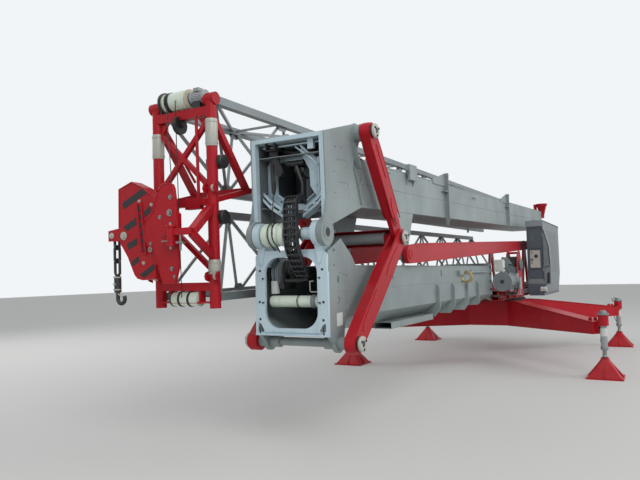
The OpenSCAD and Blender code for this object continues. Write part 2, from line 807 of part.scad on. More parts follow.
module knee_plates() {
    low = knee_r + 12;
    color("silver") in_upper() both_sides() difference() {
        union() {
            plate_xz(wall_out, plate_out) union() {
                circle(knee_r);
                polygon([[-knee_r * 0.8, knee_r * 0.6], [-knee_r, 0], [0, -knee_r], [knee_r * 0.9, -knee_r * 0.5],
                    [knee_r, 0], [up_front + 30, 200], [up_front, 330], [up_front, end_top],
                    [top_local[0] + 60, top_local[1] + 88], [top_local[0] - 80, top_local[1] - 70],
                    [top_local[0] + 100, up_top - 80], [top_local[0] - 62, up_z + 20],
                    [top_local[0] - 62, up_z]]);
                translate(top_local) circle(105);
            }
            round_y(top_local[0], top_local[1], plate_out - 1, link_in - side_play, 88);
            // Ear, thick enough to reach in to the lower ear
            plate_xz(ear_out + 7, wall_out + 1) union() {
                circle(knee_r);
                polygon([[up_front - end_t, 0], [knee_r, 0], [up_front + 40, low], [up_front - end_t, low]]);
            }
        }
        round_y(0, 0, ear_out, plate_out + 5, knee_pin_r + pin_play);
    }
}

module mast_brackets() {
    reach = 60;
    rest_x = -2360;
    rest_len = 250;
    rest_h = 190;
    color("silver") in_upper() both_sides() {
        translate([rest_x, mast_half, up_top + 100 - rest_h]) cube([rest_len, reach, rest_h]);
        for (x = [-0.3 * up_len, -0.64 * up_len]) {
            plate_yz(x, x + 20) polygon([[mast_half, up_z - 90], [mast_half + 30, up_z - 110],
                [mast_half + reach, up_z], [mast_half + reach, up_top + 150], [mast_half, up_top + 150]]);
            plate_xz(mast_half, mast_half + 12) polygon([[x + 19, up_top - 40], [x + 19, up_top + 150],
                [x + 560, up_top + 20], [x + 560, up_top - 40]]);
        }
    }
}

// Mast head with the cross shaft that carries the jib

head_x = -up_len - 60;
head_z = up_z + side_h * 0.75;
head_world = [knee_x + head_x * cos(fold_tilt) + head_z * sin(fold_tilt),
    knee_z - head_x * sin(fold_tilt) + head_z * cos(fold_tilt)];

module mast_head() {
    shaft_r = 50;
    rear = -up_len - 150;
    color("firebrick") in_upper() union() {
        difference() {
            translate([rear, -mast_half + 40, up_z + 60]) cube([150, mast_w - 80, side_h - 60]);
            translate([rear + 20, -mast_half + 60, up_z + 80]) cube([110, mast_w - 120, side_h - 60]);
        }
        difference() {
            translate([-up_len - 20, -mast_half, up_z]) cube([20, mast_w, side_h]);
            translate([-up_len - 21, -mast_half + 60, up_z + 60]) cube([22, mast_w - 120, side_h - 160]);
        }
        round_y(head_x, head_z, -jib_near - jib_w - 90, mast_half + 20, shaft_r);
        both_sides() plate_xz(mast_half - 190, mast_half - 130)
            polygon([[rear, up_top - 1], [-up_len - 1, up_top - 1], [-up_len + 40, up_top + 200],
                [rear - 40, up_top + 200]]);
    }
}

// Cable chain that arches over the knee pin into the lower mast

chain_path = [[-78, 295], [-36.6, 338.3], [22.9, 346], [74, 314.5], [94, 258], [94, 198], [94, 138], [94, 78],
    [94, 18], [93, -42], [85, -102], [67, -158], [30.2, -212.6], [-2.2, -266.6], [-40, -314], [-82, -357],
    [-122, -399]];
chain_half = 26;

// One edge of the chain: wide links with a narrow joint between them
function chain_edge(s) = [for (i = [0 : len(chain_path) - 2])
    let (p = chain_path[i], q = chain_path[i + 1], u = (q - p) / norm(q - p), n = [-u[1], u[0]] * s)
    each [p + u * 10 + n * (chain_half - 9), p + u * 10 + n * chain_half, q - u * 10 + n * chain_half,
        q - u * 10 + n * (chain_half - 9)]];

module cable_chain() {
    back = chain_edge(-1);
    color("black") translate([knee_x, 0, knee_z]) plate_xz(6, 150)
        polygon(concat(chain_edge(1), [for (i = [len(back) - 1 : -1 : 0]) back[i]]));
}

// Jib, in its own frame with the near top chord's front end at the origin

near_y = -jib_near;
far_y = -jib_near - jib_w;
apex_y = -jib_near - jib_w / 2;
jib_h = (pack_h - apex_gap) / 2;

// One triangular section: two deck chords at height zd, one apex chord at za
module jib_section(x0, len, bays, zd, za) {
    pitch = len / bays;
    bore = chord_w - 2 * chord_t;
    difference() {
        union() {
            for (y = [near_y, far_y]) bar([x0, y, zd], [x0 - len, y, zd], chord_w);
            bar([x0 - pitch / 2 + 40, apex_y, za], [x0 - len + pitch / 2 - 40, apex_y, za], chord_w);
            for (i = [0 : bays - 1]) {
                x = x0 - i * pitch;
                flip = i % 2 == 0;
                bar([x - 20, flip ? near_y : far_y, zd], [x - pitch + 20, flip ? far_y : near_y, zd], lace_w);
                for (y = [near_y, far_y]) {
                    bar([x - 24, y, zd], [x - pitch / 2, apex_y, za], lace_w);
                    bar([x - pitch + 24, y, zd], [x - pitch / 2, apex_y, za], lace_w);
                }
            }
            for (i = [0 : bays]) {
                x = x0 - i * pitch + (i == 0 ? -110 : i == bays ? 18 : 0);
                bar([x, near_y, zd], [x, far_y, zd], lace_w - 6);
            }
        }
        for (y = [near_y, far_y]) bar([x0 + 1, y, zd], [x0 - len - 1, y, zd], bore);
        bar([x0 - pitch / 2 + 41, apex_y, za], [x0 - len + pitch / 2 - 41, apex_y, za], bore);
        for (y = [near_y, far_y]) translate([0, y, zd - 200]) cylinder(h = 400, r = post_r + 0.2);
    }
}

module jib_inner_section() {
    head = to_jib(head_world[0], head_world[1]);
    rear = -inner_len;
    heel = 560;
    color("silver") in_jib() difference() {
        union() {
            jib_section(-45, inner_len - 45, inner_bays, 0, -jib_h);
            // Heel that hangs the section on the head shaft
            for (y = [near_y, far_y]) {
                bar([rear, y, 0], [head[0], y, head[1]], 70);
                bar([rear + heel, y, 0], [head[0], y, head[1]], 60);
                translate([head[0], y + 45, head[1]]) rotate([90, 0, 0]) cylinder(h = 90, r = 95);
            }
        }
        translate([head[0], near_y + 100, head[1]]) rotate([90, 0, 0])
            cylinder(h = jib_w + 200, r = 50 + pin_play);
        for (y = [near_y, far_y]) round_y(0, 0, y - 71, y + 71, pin_boss_r + 0.2);
    }
}

module jib_outer_section() {
    color("silver") in_jib() jib_section(-45, outer_len, outer_bays, -pack_h, -pack_h + jib_h);
}

pin_boss_r = 62;
roller_z = -pack_h - 20;
block_back = 200;
plate_back = block_back + block_t;
block_front = plate_back + 26;
block_y = near_y - block_side;
block_z = -1330;

module jib_end_frame() {
    top = 40;
    bottom = -pack_h - 110;
    color("firebrick") in_jib() difference() {
        end_frame_bars(top, bottom);
        for (y = [near_y, far_y]) translate([0, y, bottom - 1])
            cylinder(h = top - bottom + 2, r = post_r - post_t);
    }
}

module end_frame_bars(top, bottom) {
    union() {
        for (y = [near_y, far_y]) {
            translate([0, y, bottom]) cylinder(h = top - bottom, r = post_r);
            round_y(0, 0, y - 68, y + 68, pin_boss_r);
            // Braces behind the post
            bar([-30, y, -190], [-560, y, -860], 60);
            bar([0, y, -1000], [-620, y, -850], 54);
        }
        bar([0, near_y, -120], [0, far_y, -120], 90);
        bar([0, near_y, -1010], [0, far_y, -1010], 70);
        bar([0, near_y, -pack_h + 100], [0, far_y, -pack_h + 100], 80);
        bar([0, near_y, -170], [0, far_y, -900], 46);
        bar([0, far_y, -230], [0, near_y, -900], 46);
        bar([-590, near_y, -850], [-590, far_y, -850], 60);
        bar([0, far_y, -1100], [0, near_y, -1700], 46);
        // Roller's hangers and axle
        for (s = [-1, 1]) translate([-40, apex_y + s * 190 - 8, roller_z - 45])
            cube([80, 16, -pack_h + 70 - roller_z + 45]);
        round_y(0, roller_z, apex_y - 200, apex_y + 200, 16);
        // Holder of the hook block
        bar([0, near_y, -1050], [block_front + 30, near_y + 60, block_z + 10], 70);
        bar([0, near_y, -1560], [block_front + 30, near_y + 55, block_z - 5], 60);
        translate([block_front, near_y - 273, block_z - 15]) cube([60, 340, 62]);
        translate([block_front + 4, near_y - 214, block_z - 108]) cube([60, 76, 160]);
    }
}

drum_y = far_y + 106;
drum_z = 36;

module rope_drum() {
    color("wheat") in_jib() difference() {
        union() {
            round_y(0, drum_z, drum_y, drum_y + 24, 108);
            round_y(0, drum_z, drum_y + 23, drum_y + 330, 84);
            round_y(0, drum_z, drum_y + 329, drum_y + 350, 100);
        }
        round_y(0, drum_z, drum_y - 5, drum_y + 360, 20 + pin_play);
    }
}

module drum_gearbox() {
    seat = -75;
    color("dimgray") in_jib() union() {
        round_y(0, drum_z, drum_y - 26, drum_y + 420, 20);
        round_y(0, drum_z, drum_y + 356, drum_y + 520, 60);
        translate([-45, drum_y + 400, seat]) cube([90, 90, 80]);
        translate([-45, drum_y - 26, seat]) cube([90, 20, 150]);
    }
}

module jib_roller() {
    color("ivory") in_jib() difference() {
        round_y(0, roller_z, apex_y - 170, apex_y + 170, 74);
        round_y(0, roller_z, apex_y - 180, apex_y + 180, 16 + pin_play);
    }
}

// Hook block stowed on its holder in front of the end frame

module hook_block() {
    color("firebrick") in_jib() plate_yz(plate_back, block_front) translate([block_y, block_z])
        polygon([[-73, 443], [-50, 475], [-14, 487], [58, 486], [95, 470], [114, 432], [128, 333], [138, 181],
            [155, -131], [149, -323], [103, -466], [-40, -464], [-67, -404], [-149, -167], [-222, -131],
            [-272, -35], [-292, 66], [-263, 137], [-165, 213], [-120, 342]]);
}

nose = 795;

module housing_outline() {
    translate([block_y, block_z]) polygon([[-640, 490], [-461, 549], [-308, 478], [-189, 383], [-60, 300],
        [60, 200], [60, -100], [-60, -200], [-162, -282], [-166, -414], [-331, -428], [-400, -412],
        [-437, -376], [-526, -193], [-626, -35], [-nose, -30], [-nose, 75], [-644, 95]]);
}

module hook_housing() {
    sheet = 12;
    slot_half = chain_w / 2 + side_play;
    color("firebrick") in_jib() union() {
        difference() {
            plate_yz(block_back, plate_back) housing_outline();
            // Open rear side of the sheet housing
            plate_yz(block_back - 1, plate_back - sheet) intersection() {
                offset(delta = -sheet) housing_outline();
                translate([block_y - 622, block_z - 500]) square([800, 1100]);
            }
            // Slot for the chain
            translate([shackle[0] - slot_half, block_y - nose - 1, block_z - 100])
                cube([2 * slot_half, nose - 649, 300]);
        }
        round_x(shackle[1], shackle[2], shackle[0] - slot_half - 1, shackle[0] + slot_half + 1, shackle_r);
    }
}

module chain_link(h, w) {
    r = (w - 2 * chain_r) / 2;
    straight = h - 2 * r - 2 * chain_r;
    union() {
        for (s = [-1, 1]) translate([0, s * r, -straight / 2]) cylinder(h = straight, r = chain_r, $fn = 24);
        for (s = [-1, 1]) translate([0, 0, s * straight / 2]) rotate([0, 90, 0])
            rotate([0, 0, s > 0 ? 90 : -90]) rotate_extrude(angle = 180, $fn = 32)
                translate([r, 0]) circle(chain_r, $fn = 24);
    }
}

shackle = [block_back + block_t / 2, block_y - nose + 51, block_z + 25];
shackle_r = 16;

chain_w = 2 * shackle_r + 4 * chain_r + 4;

module load_hook() {
    link_h = 190;
    pitch = link_h - 4 * chain_r + seat_gap;
    first = shackle_r + seat_gap - (link_h / 2 - 2 * chain_r);
    n = 3;
    eye_z = first - (n - 1) * pitch - link_h / 2;
    head_h = 157;
    hook_r = 48;
    wire = 20;
    bow_z = eye_z - head_h - 65;
    color("dimgray") in_jib() translate(shackle) union() {
        for (i = [0 : n - 1]) translate([0, 0, first - i * pitch])
            rotate([0, 0, i * 90]) chain_link(link_h, chain_w);
        // Head, shank and bow of the hook
        translate([0, 0, eye_z - head_h]) cylinder(h = head_h + 6, r = 36);
        translate([0, 0, bow_z]) cylinder(h = 75, r = wire);
        translate([0, hook_r, bow_z]) rotate([90, 0, 90]) rotate([0, 0, 180])
            rotate_extrude(angle = 210) translate([hook_r, 0]) circle(wire, $fn = 24);
    }
}

chassis_hub();
chassis_arms();
jack_tubes();
slewing_ring();
jack_rod(jacks[0]);  // jack_rod_front_near
jack_rod(jacks[1]);  // jack_rod_front_far
jack_rod(jacks[2]);  // jack_rod_rear_near
jack_rod(jacks[3]);  // jack_rod_rear_far
foot_pad(jacks[0]);  // foot_pad_front_near
foot_pad(jacks[1]);  // foot_pad_front_far
foot_pad(jacks[2]);  // foot_pad_rear_near
foot_pad(jacks[3]);  // foot_pad_rear_far
platform_frame();
arm_posts();
foot_pins();
hoist_motor();
junction_box();
cabinet();
cabinet_door();
lower_mast_box();
lower_mast_end();
mast_foot_frame();
cross_pins();
lower_link_axle();
mast_ribs();
cable_chain();
mast_roller();
knee_pulley();
lower_links();
upper_links();
long_arms();
upper_mast_box();
upper_mast_end();
knee_plates();
mast_brackets();
mast_head();
jib_inner_section();
jib_outer_section();
jib_end_frame();
rope_drum();
drum_gearbox();
jib_roller();
hook_block();
hook_housing();
load_hook();
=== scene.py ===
import json
import math

import bmesh
import bpy
from mathutils import Matrix, Vector


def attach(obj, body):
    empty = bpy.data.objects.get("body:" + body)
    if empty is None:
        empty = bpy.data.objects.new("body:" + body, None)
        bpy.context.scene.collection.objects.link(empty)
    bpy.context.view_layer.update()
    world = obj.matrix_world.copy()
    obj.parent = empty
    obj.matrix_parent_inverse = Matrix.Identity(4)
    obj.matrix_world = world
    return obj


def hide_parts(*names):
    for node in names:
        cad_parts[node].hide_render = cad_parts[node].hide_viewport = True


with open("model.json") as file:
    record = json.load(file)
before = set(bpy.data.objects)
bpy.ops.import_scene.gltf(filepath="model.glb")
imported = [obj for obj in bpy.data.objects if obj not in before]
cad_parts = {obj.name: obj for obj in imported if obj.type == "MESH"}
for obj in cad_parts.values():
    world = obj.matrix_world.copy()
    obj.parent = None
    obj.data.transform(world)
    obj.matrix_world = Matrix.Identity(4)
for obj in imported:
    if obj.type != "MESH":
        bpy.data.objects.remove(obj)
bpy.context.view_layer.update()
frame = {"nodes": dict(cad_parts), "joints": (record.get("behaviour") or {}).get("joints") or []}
scene = bpy.context.scene

# Camera: at the photograph's viewpoint, in front of the knee and a little to
# the cabinet's side. Lens and horizon were fitted to the crane's four feet.
viewpoint = Vector((13.01, 3.015, 1.75))
yaw, pitch, roll = math.radians(-151.10), math.radians(3.30), math.radians(1.32)
ahead = Vector((math.cos(yaw) * math.cos(pitch), math.sin(yaw) * math.cos(pitch), math.sin(pitch)))
level = ahead.cross(Vector((0, 0, 1))).normalized()
below = ahead.cross(level)
right = level * math.cos(roll) + below * math.sin(roll)
down = below * math.cos(roll) - level * math.sin(roll)
camera_data = bpy.data.cameras.new("camera")
camera_data.lens = 33.96
camera_data.sensor_width = 36
camera_data.clip_end = 200
camera = bpy.data.objects.new("camera", camera_data)
camera.matrix_world = Matrix.Translation(viewpoint) @ Matrix((right, -down, -ahead)).transposed().to_4x4()
scene.collection.objects.link(camera)
scene.camera = camera
scene.view_settings.view_transform = "Standard"

# Light: an overcast sky as a soft world, and three broad lamps for gentle
# shading. The camera and glossy rays see a near-white backdrop instead.
world = bpy.data.worlds.new("overcast")
scene.world = world
world.use_nodes = True
tree = world.node_tree
tree.nodes.clear()
rays, seen, mix, output = (tree.nodes.new("ShaderNode" + kind)
                           for kind in ("LightPath", "Math", "MixShader", "OutputWorld"))
seen.operation = "MAXIMUM"
tree.links.new(rays.outputs["Is Camera Ray"], seen.inputs[0])
tree.links.new(rays.outputs["Is Glossy Ray"], seen.inputs[1])
tree.links.new(seen.outputs[0], mix.inputs["Fac"])
for socket, colour, strength in ((1, (0.93, 0.97, 1.0, 1), 0.62), (2, (0.88, 0.91, 0.93, 1), 1.0)):
    glow = tree.nodes.new("ShaderNodeBackground")
    glow.inputs["Color"].default_value = colour
    glow.inputs["Strength"].default_value = strength
    tree.links.new(glow.outputs[0], mix.inputs[socket])
tree.links.new(mix.outputs[0], output.inputs["Surface"])
for name, spot, aim, size, power in (("sky_front", (16, 9, 11), (3, 0, 1.5), 9, 900),
                                     ("sky_side", (0, 14, 10), (1, 0, 1.5), 10, 750),
                                     ("sky_far", (4, -13, 9), (3, 0, 2), 9, 500)):
    light = bpy.data.lights.new(name, "AREA")
    light.shape, light.size, light.energy = "DISK", size, power
    lamp = bpy.data.objects.new(name, light)
    lamp.location = spot
    lamp.rotation_euler = (Vector(aim) - Vector(spot)).to_track_quat("-Z", "Y").to_euler()
    scene.collection.objects.link(lamp)

# Floor: one plain, pale, matt sheet under the four feet, wide enough to reach
# the horizon. It keeps the crane's shadow.
floor_half = 60
floor_mesh = bpy.data.meshes.new("floor")
floor_mesh.from_pydata([(x * floor_half, y * floor_half, 0) for x, y in ((-1, -1), (1, -1), (1, 1), (-1, 1))],
                       [], [(0, 1, 2, 3)])
floor = bpy.data.objects.new("floor", floor_mesh)
scene.collection.objects.link(floor)
floor_finish = bpy.data.materials.new("floor_matt")
floor_finish.use_nodes = True
floor_bsdf = floor_finish.node_tree.nodes["Principled BSDF"]
floor_bsdf.inputs["Base Color"].default_value = (0.60, 0.59, 0.57, 1)
floor_bsdf.inputs["Roughness"].default_value = 0.95
floor_mesh.materials.append(floor_finish)


# Chassis: a box of welded steel plate with four tapering arms, in red enamel.
# Flange edges stand proud along the arms, stiffening plates and weld beads
# sit on their sides, and two lugs stand near each tip.
def group_of(name, *sockets):
    """A shader node group with named inputs and outputs."""
    group = bpy.data.node_groups.new(name, "ShaderNodeTree")
    for way, kind, label, value in sockets:
        socket = group.interface.new_socket(label, in_out=way, socket_type="NodeSocket" + kind)
        if value is not None:
            socket.default_value = value
    return group, group.nodes.new("NodeGroupInput"), group.nodes.new("NodeGroupOutput")


def noise_in(tree, scale, detail, stretch=(1, 1, 1)):
    """Noise over the object's own coordinates, in metres."""
    place, mapping, noise = (tree.nodes.new("ShaderNode" + kind) for kind in ("TexCoord", "Mapping", "TexNoise"))
    mapping.inputs["Scale"].default_value = stretch
    noise.inputs["Scale"].default_value = scale
    noise.inputs["Detail"].default_value = detail
    tree.links.new(place.outputs["Object"], mapping.inputs["Vector"])
    tree.links.new(mapping.outputs["Vector"], noise.inputs["Vector"])
    return noise.outputs["Fac"]


def ramp_in(tree, value, low, high, start=0.0, end=1.0):
    """Maps a value between two limits, clamped."""
    span = tree.nodes.new("ShaderNodeMapRange")
    tree.links.new(value, span.inputs[0])
    for i, v in enumerate((low, high, start, end), 1):
        span.inputs[i].default_value = v
    return span.outputs[0]


def sum_in(tree, operation, *values, clamp=False):
    """A sum or product of sockets."""
    node = tree.nodes.new("ShaderNodeMath")
    node.operation, node.use_clamp = operation, clamp
    for value, socket in zip(values, node.inputs):
        tree.links.new(value, socket)
    return node.outputs[0]


def blend_in(tree, mode, factor, a, b):
    """A colour mix; each input is a socket or a plain value."""
    mix = tree.nodes.new("ShaderNodeMix")
    mix.data_type, mix.blend_type = "RGBA", mode
    for socket, value in ((mix.inputs[0], factor), (mix.inputs[6], a), (mix.inputs[7], b)):
        if isinstance(value, bpy.types.NodeSocket):
            tree.links.new(value, socket)
        else:
            socket.default_value = (*value, 1) if isinstance(value, tuple) else value
    return mix.outputs[2]


# Tone: slow clouds and fine speckle in the colour of any sheet or casting.
middle_grey = (0.5, 0.5, 0.5, 1)
tone, tone_in, tone_out = group_of(
    "drifting_tone", ("INPUT", "Color", "Color", middle_grey), ("INPUT", "Float", "Drift", 0.25),
    ("INPUT", "Float", "Speckle", 0.2), ("OUTPUT", "Color", "Color", None), ("OUTPUT", "Float", "Height", None))
plain = tone_in.outputs["Color"]
cloud = ramp_in(tone, noise_in(tone, 1.3, 5), 0.34, 0.66)
fine = ramp_in(tone, noise_in(tone, 55, 3), 0.3, 0.7)
shaded = blend_in(tone, "MIX", cloud, blend_in(tone, "MULTIPLY", 1.0, plain, (0.55, 0.56, 0.57)), plain)
drifted = blend_in(tone, "MIX", tone_in.outputs["Drift"], plain, shaded)
specked = blend_in(tone, "MIX", fine, blend_in(tone, "MULTIPLY", 1.0, drifted, (0.72, 0.72, 0.72)), drifted)
tone.links.new(blend_in(tone, "MIX", tone_in.outputs["Speckle"], drifted, specked), tone_out.inputs["Color"])
tone.links.new(fine, tone_out.inputs["Height"])

# Weather: pale dust on what faces up, thin vertical runs, rust where asked.
weather, weather_in, weather_out = group_of(
    "weather", ("INPUT", "Color", "Color", middle_grey), ("INPUT", "Float", "Dust", 0.3),
    ("INPUT", "Float", "Runs", 0.3), ("INPUT", "Float", "Rust", 0.0), ("OUTPUT", "Color", "Color", None),
    ("OUTPUT", "Float", "Amount", None))
facing = weather.nodes.new("ShaderNodeNewGeometry")
parts = weather.nodes.new("ShaderNodeSeparateXYZ")
weather.links.new(facing.outputs["Normal"], parts.inputs[0])
dusty = sum_in(weather, "MULTIPLY_ADD", ramp_in(weather, parts.outputs["Z"], 0.2, 1.0),
               ramp_in(weather, noise_in(weather, 3.0, 6), 0.38, 0.72),
               ramp_in(weather, noise_in(weather, 7.0, 4), 0.55, 0.9, 0.0, 0.5))
dust_share = sum_in(weather, "MULTIPLY", dusty, weather_in.outputs["Dust"], clamp=True)
run_share = sum_in(weather, "MULTIPLY", ramp_in(weather, noise_in(weather, 9.0, 3, (1.6, 1.6, 0.12)), 0.56, 0.8),
                   weather_in.outputs["Runs"])
rust_share = sum_in(weather, "MULTIPLY", ramp_in(weather, noise_in(weather, 14.0, 8), 0.60, 0.72),
                    weather_in.outputs["Rust"])
colour = blend_in(weather, "MIX", dust_share, weather_in.outputs["Color"], (0.46, 0.43, 0.38))
colour = blend_in(weather, "MULTIPLY", run_share, colour, (0.45, 0.44, 0.42))
colour = blend_in(weather, "MIX", rust_share, colour, (0.17, 0.065, 0.03))
weather.links.new(colour, weather_out.inputs["Color"])
weather.links.new(dust_share, weather_out.inputs["Amount"])


def metal_finish(name, colour, rough, metallic=0.0, drift=0.25, speckle=0.2, dust=0.3, runs=0.2, rust=0.0,
                 bump=0.15, gloss=0.5):
    """Paint, metal or plastic with drifting tone, dust, runs and rust."""
    finish = bpy.data.materials.new(name)
    finish.use_nodes = True
    tree = finish.node_tree
    bsdf = tree.nodes["Principled BSDF"]
    toned, worn = tree.nodes.new("ShaderNodeGroup"), tree.nodes.new("ShaderNodeGroup")
    toned.node_tree, worn.node_tree = tone, weather
    relief = tree.nodes.new("ShaderNodeBump")
    for node, label, value in (
            (toned, "Color", (*colour, 1)), (toned, "Drift", drift), (toned, "Speckle", speckle), (worn, "Dust", dust),
            (worn, "Runs", runs), (worn, "Rust", rust), (bsdf, "Metallic", metallic),
            (bsdf, "Specular IOR Level", gloss), (relief, "Strength", bump), (relief, "Distance", 0.002)):
        node.inputs[label].default_value = value
    for source, label, node, socket in (
            (toned, "Color", worn, "Color"), (worn, "Color", bsdf, "Base Color"), (toned, "Height", relief, "Height"),
            (relief, "Normal", bsdf, "Normal")):
        tree.links.new(source.outputs[label], node.inputs[socket])
    tree.links.new(ramp_in(tree, worn.outputs["Amount"], 0.0, 1.0, rough, min(1.0, rough + 0.35)),
                   bsdf.inputs["Roughness"])
    return finish


def dress(finish, *names):
    """Gives CAD nodes their finish."""
    for name in names:
        mesh = frame["nodes"][name].data
        mesh.materials.clear()
        mesh.materials.append(finish)


HERE = Matrix()
PLANE = {"X": (1, 2, 0), "Y": (0, 2, 1), "Z": (0, 1, 2)}
near, far = 1, -1


def place(axis, a, b, along):
    """A point from two coordinates in a plane and the one across it."""
    spot = [0, 0, 0]
    for index, value in zip(PLANE[axis], (a, b, along)):
        spot[index] = value
    return Vector(spot)


def skin(bm, rings, loop=False):
    """Joins rings of equally many vertices with quads, and closes the ends or the loop."""
    for one, two in list(zip(rings, rings[1:])) + ([(rings[-1], rings[0])] if loop else []):
        for i in range(len(one)):
            j = (i + 1) % len(one)
            bm.faces.new((one[i], one[j], two[j], two[i]))
    if not loop:
        bm.faces.new(rings[0])
        bm.faces.new(rings[-1])


def prism(bm, outline, axis, low, high, at=HERE):
    """Pushes an outline through from low to high along an axis."""
    skin(bm, [[bm.verts.new(at @ place(axis, a, b, s)) for a, b in outline] for s in (low, high)])


def block(bm, low, high, at=HERE):
    """A box between two corners."""
    prism(bm, [(low[0], low[1]), (high[0], low[1]), (high[0], high[1]), (low[0], high[1])], "Z", low[2], high[2], at)


def spread(side, inner, outer):
    """Two distances from the middle plane as rising Y values on the near or far side."""
    return sorted((side * inner, side * outer))


def slab(bm, side, low, high, at=HERE):
    """A box whose Y is measured outwards on the near or far side."""
    inner, outer = spread(side, low[1], high[1])
    block(bm, (low[0], inner, low[2]), (high[0], outer, high[2]), at)


def angles(count, start=0.0):
    """Angles evenly round a circle."""
    return [start + 2 * math.pi * k / count for k in range(count)]


def tube(bm, path, radius, sides=12, at=HERE):
    """Sweeps a round section along a path."""
    path = [at @ Vector(p) for p in path]
    side, rings = None, []
    for i, spot in enumerate(path):
        ahead = (path[min(i + 1, len(path) - 1)] - path[max(i - 1, 0)]).normalized()
        side = (side - ahead * side.dot(ahead)).normalized() if side else ahead.orthogonal().normalized()
        other = ahead.cross(side)
        rings.append([bm.verts.new(spot + (side * math.cos(a) + other * math.sin(a)) * radius) for a in angles(sides)])
    skin(bm, rings)


def put(name, bm, finish, body, edge=0.0015):
    """Turns the gathered mesh into a piece with rounded edges that rides on a body."""
    bmesh.ops.recalc_face_normals(bm, faces=bm.faces)
    for face in bm.faces:
        face.smooth = True
    mesh = bpy.data.meshes.new(name)
    bm.to_mesh(mesh)
    bm.free()
    mesh.materials.append(finish)
    crease = math.radians(38)
    mesh.set_sharp_from_angle(angle=crease)
    piece = bpy.data.objects.new(name, mesh)
    scene.collection.objects.link(piece)
    if edge:
        bevel = piece.modifiers.new("edges", "BEVEL")
        bevel.width, bevel.segments = edge, 2
        bevel.limit_method, bevel.angle_limit = "ANGLE", crease
        bevel.harden_normals = True
    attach(piece, body)
    return piece


red_paint = metal_finish("red_enamel", (0.44, 0.008, 0.017), 0.42, drift=0.35, speckle=0.12, dust=0.10,
                         runs=0.25, rust=0.05, bump=0.08, gloss=0.25)
dress(red_paint, "chassis_hub", "chassis_arms")
jack_half = 2.25
corners = {"front_near": (1, near), "front_far": (1, far), "rear_near": (-1, near), "rear_far": (-1, far)}
chassis_top, chassis_low, hub_half = 1.14, 0.65, 0.56
root, arm_end = hub_half * 1.7 / math.sqrt(2), jack_half * math.sqrt(2) - 0.095
tip_low, tip_top, arm_half = 0.69, 0.89, 0.12
flanges = bmesh.new()
for sx, sy in corners.values():
    turn = Matrix.Rotation(math.atan2(sy, sx), 4, "Z")
    for side in (far, near):
        edge = spread(side, arm_half - 0.012, arm_half + 0.014)
        prism(flanges, [(root + 0.01, chassis_top + 0.001), (root + 0.33, chassis_top - 0.009),
                        (arm_end, tip_top + 0.001), (arm_end, tip_top - 0.011), (root + 0.33, chassis_top - 0.021),
                        (root + 0.01, chassis_top - 0.011)], "Y", *edge, turn)
        prism(flanges, [(root + 0.01, chassis_low - 0.001), (arm_end, tip_low - 0.001), (arm_end, tip_low + 0.011),
                        (root + 0.01, chassis_low + 0.011)], "Y", *edge, turn)
        prism(flanges, [(root + 0.45, 0.76), (root + 1.05, 0.765), (root + 0.95, 0.88), (root + 0.50, 0.93)], "Y",
              *spread(side, arm_half - 0.002, arm_half + 0.006), turn)
        tube(flanges, [(root + 0.02, side * (arm_half + 0.001), z) for z in (0.68, 1.11)], 0.008, 8, turn)
    for y in (-0.07, 0.03):
        block(flanges, (arm_end - 0.16, y, tip_low + 0.12), (arm_end - 0.09, y + 0.012, tip_low + 0.26), turn)
put("arm_flanges", flanges, red_paint, "chassis", 0.0015)


# Slewing ring: a toothed ring of oiled steel between chassis and platform. It
# is held by 36 bolts from below, and 72 teeth stand round its lower race.
def turned(bm, profile, centre, axis, at=HERE, sides=40):
    """Turns a closed profile of (radius, distance along the axis) round a centre."""
    skin(bm, [[bm.verts.new(at @ (Vector(centre) + place(axis, max(radius, 0.0002) * math.cos(a),
                                                         max(radius, 0.0002) * math.sin(a), along)))
               for a in angles(sides)] for radius, along in profile], loop=True)


def disc(bm, centre, axis, radius, thick, at=HERE, sides=32):
    """A round plate that starts at its centre point."""
    turned(bm, [(0, 0), (radius, 0), (radius, thick), (0, thick)], centre, axis, at, sides)


def bolt(bm, centre, axis, radius, way=1, at=HERE):
    """A hexagon head on its washer, pointing along the axis or against it."""
    disc(bm, centre, axis, radius * 1.5, radius * 0.25 * way, at, 20)
    disc(bm, Vector(centre) + place(axis, 0, 0, radius * 0.24 * way), axis, radius, radius * 0.75 * way, at, 6)


def bolt_circle(bm, centre, axis, reach, count, radius, way=1, at=HERE, start=0.0):
    """Bolts evenly round a centre."""
    for a in angles(count, start):
        bolt(bm, Vector(centre) + place(axis, reach * math.cos(a), reach * math.sin(a), 0), axis, radius, way, at)


dark_steel = metal_finish("oiled_steel", (0.045, 0.045, 0.048), 0.45, 0.4, drift=0.5, speckle=0.3,
                          dust=0.25, rust=0.15)
dress(dark_steel, "slewing_ring")
teeth = bmesh.new()
bolt_circle(teeth, (0, 0, 1.1999), "Z", 0.585, 36, 0.009, -1)
for a in angles(72):
    prism(teeth, [(0.617, 1.150), (0.640, 1.153), (0.640, 1.185), (0.617, 1.188)], "Y", -0.009, 0.009,
          Matrix.Rotation(a, 4, "Z"))
put("ring_teeth", teeth, dark_steel, "chassis", 0)


# Jacks: screw jacks in sleeves at the arms' ends, with a bolted cast cap, a
# white band on the grey tube, a collar where the steel rod comes out, and
# short pressure pipes. Each foot pad is welded from red plate with four ribs.
def ring(bm, centre, axis, inner, outer, thick, at=HERE, sides=40):
    """A flat ring."""
    turned(bm, [(inner, 0), (outer, 0), (outer, thick), (inner, thick)], centre, axis, at, sides)


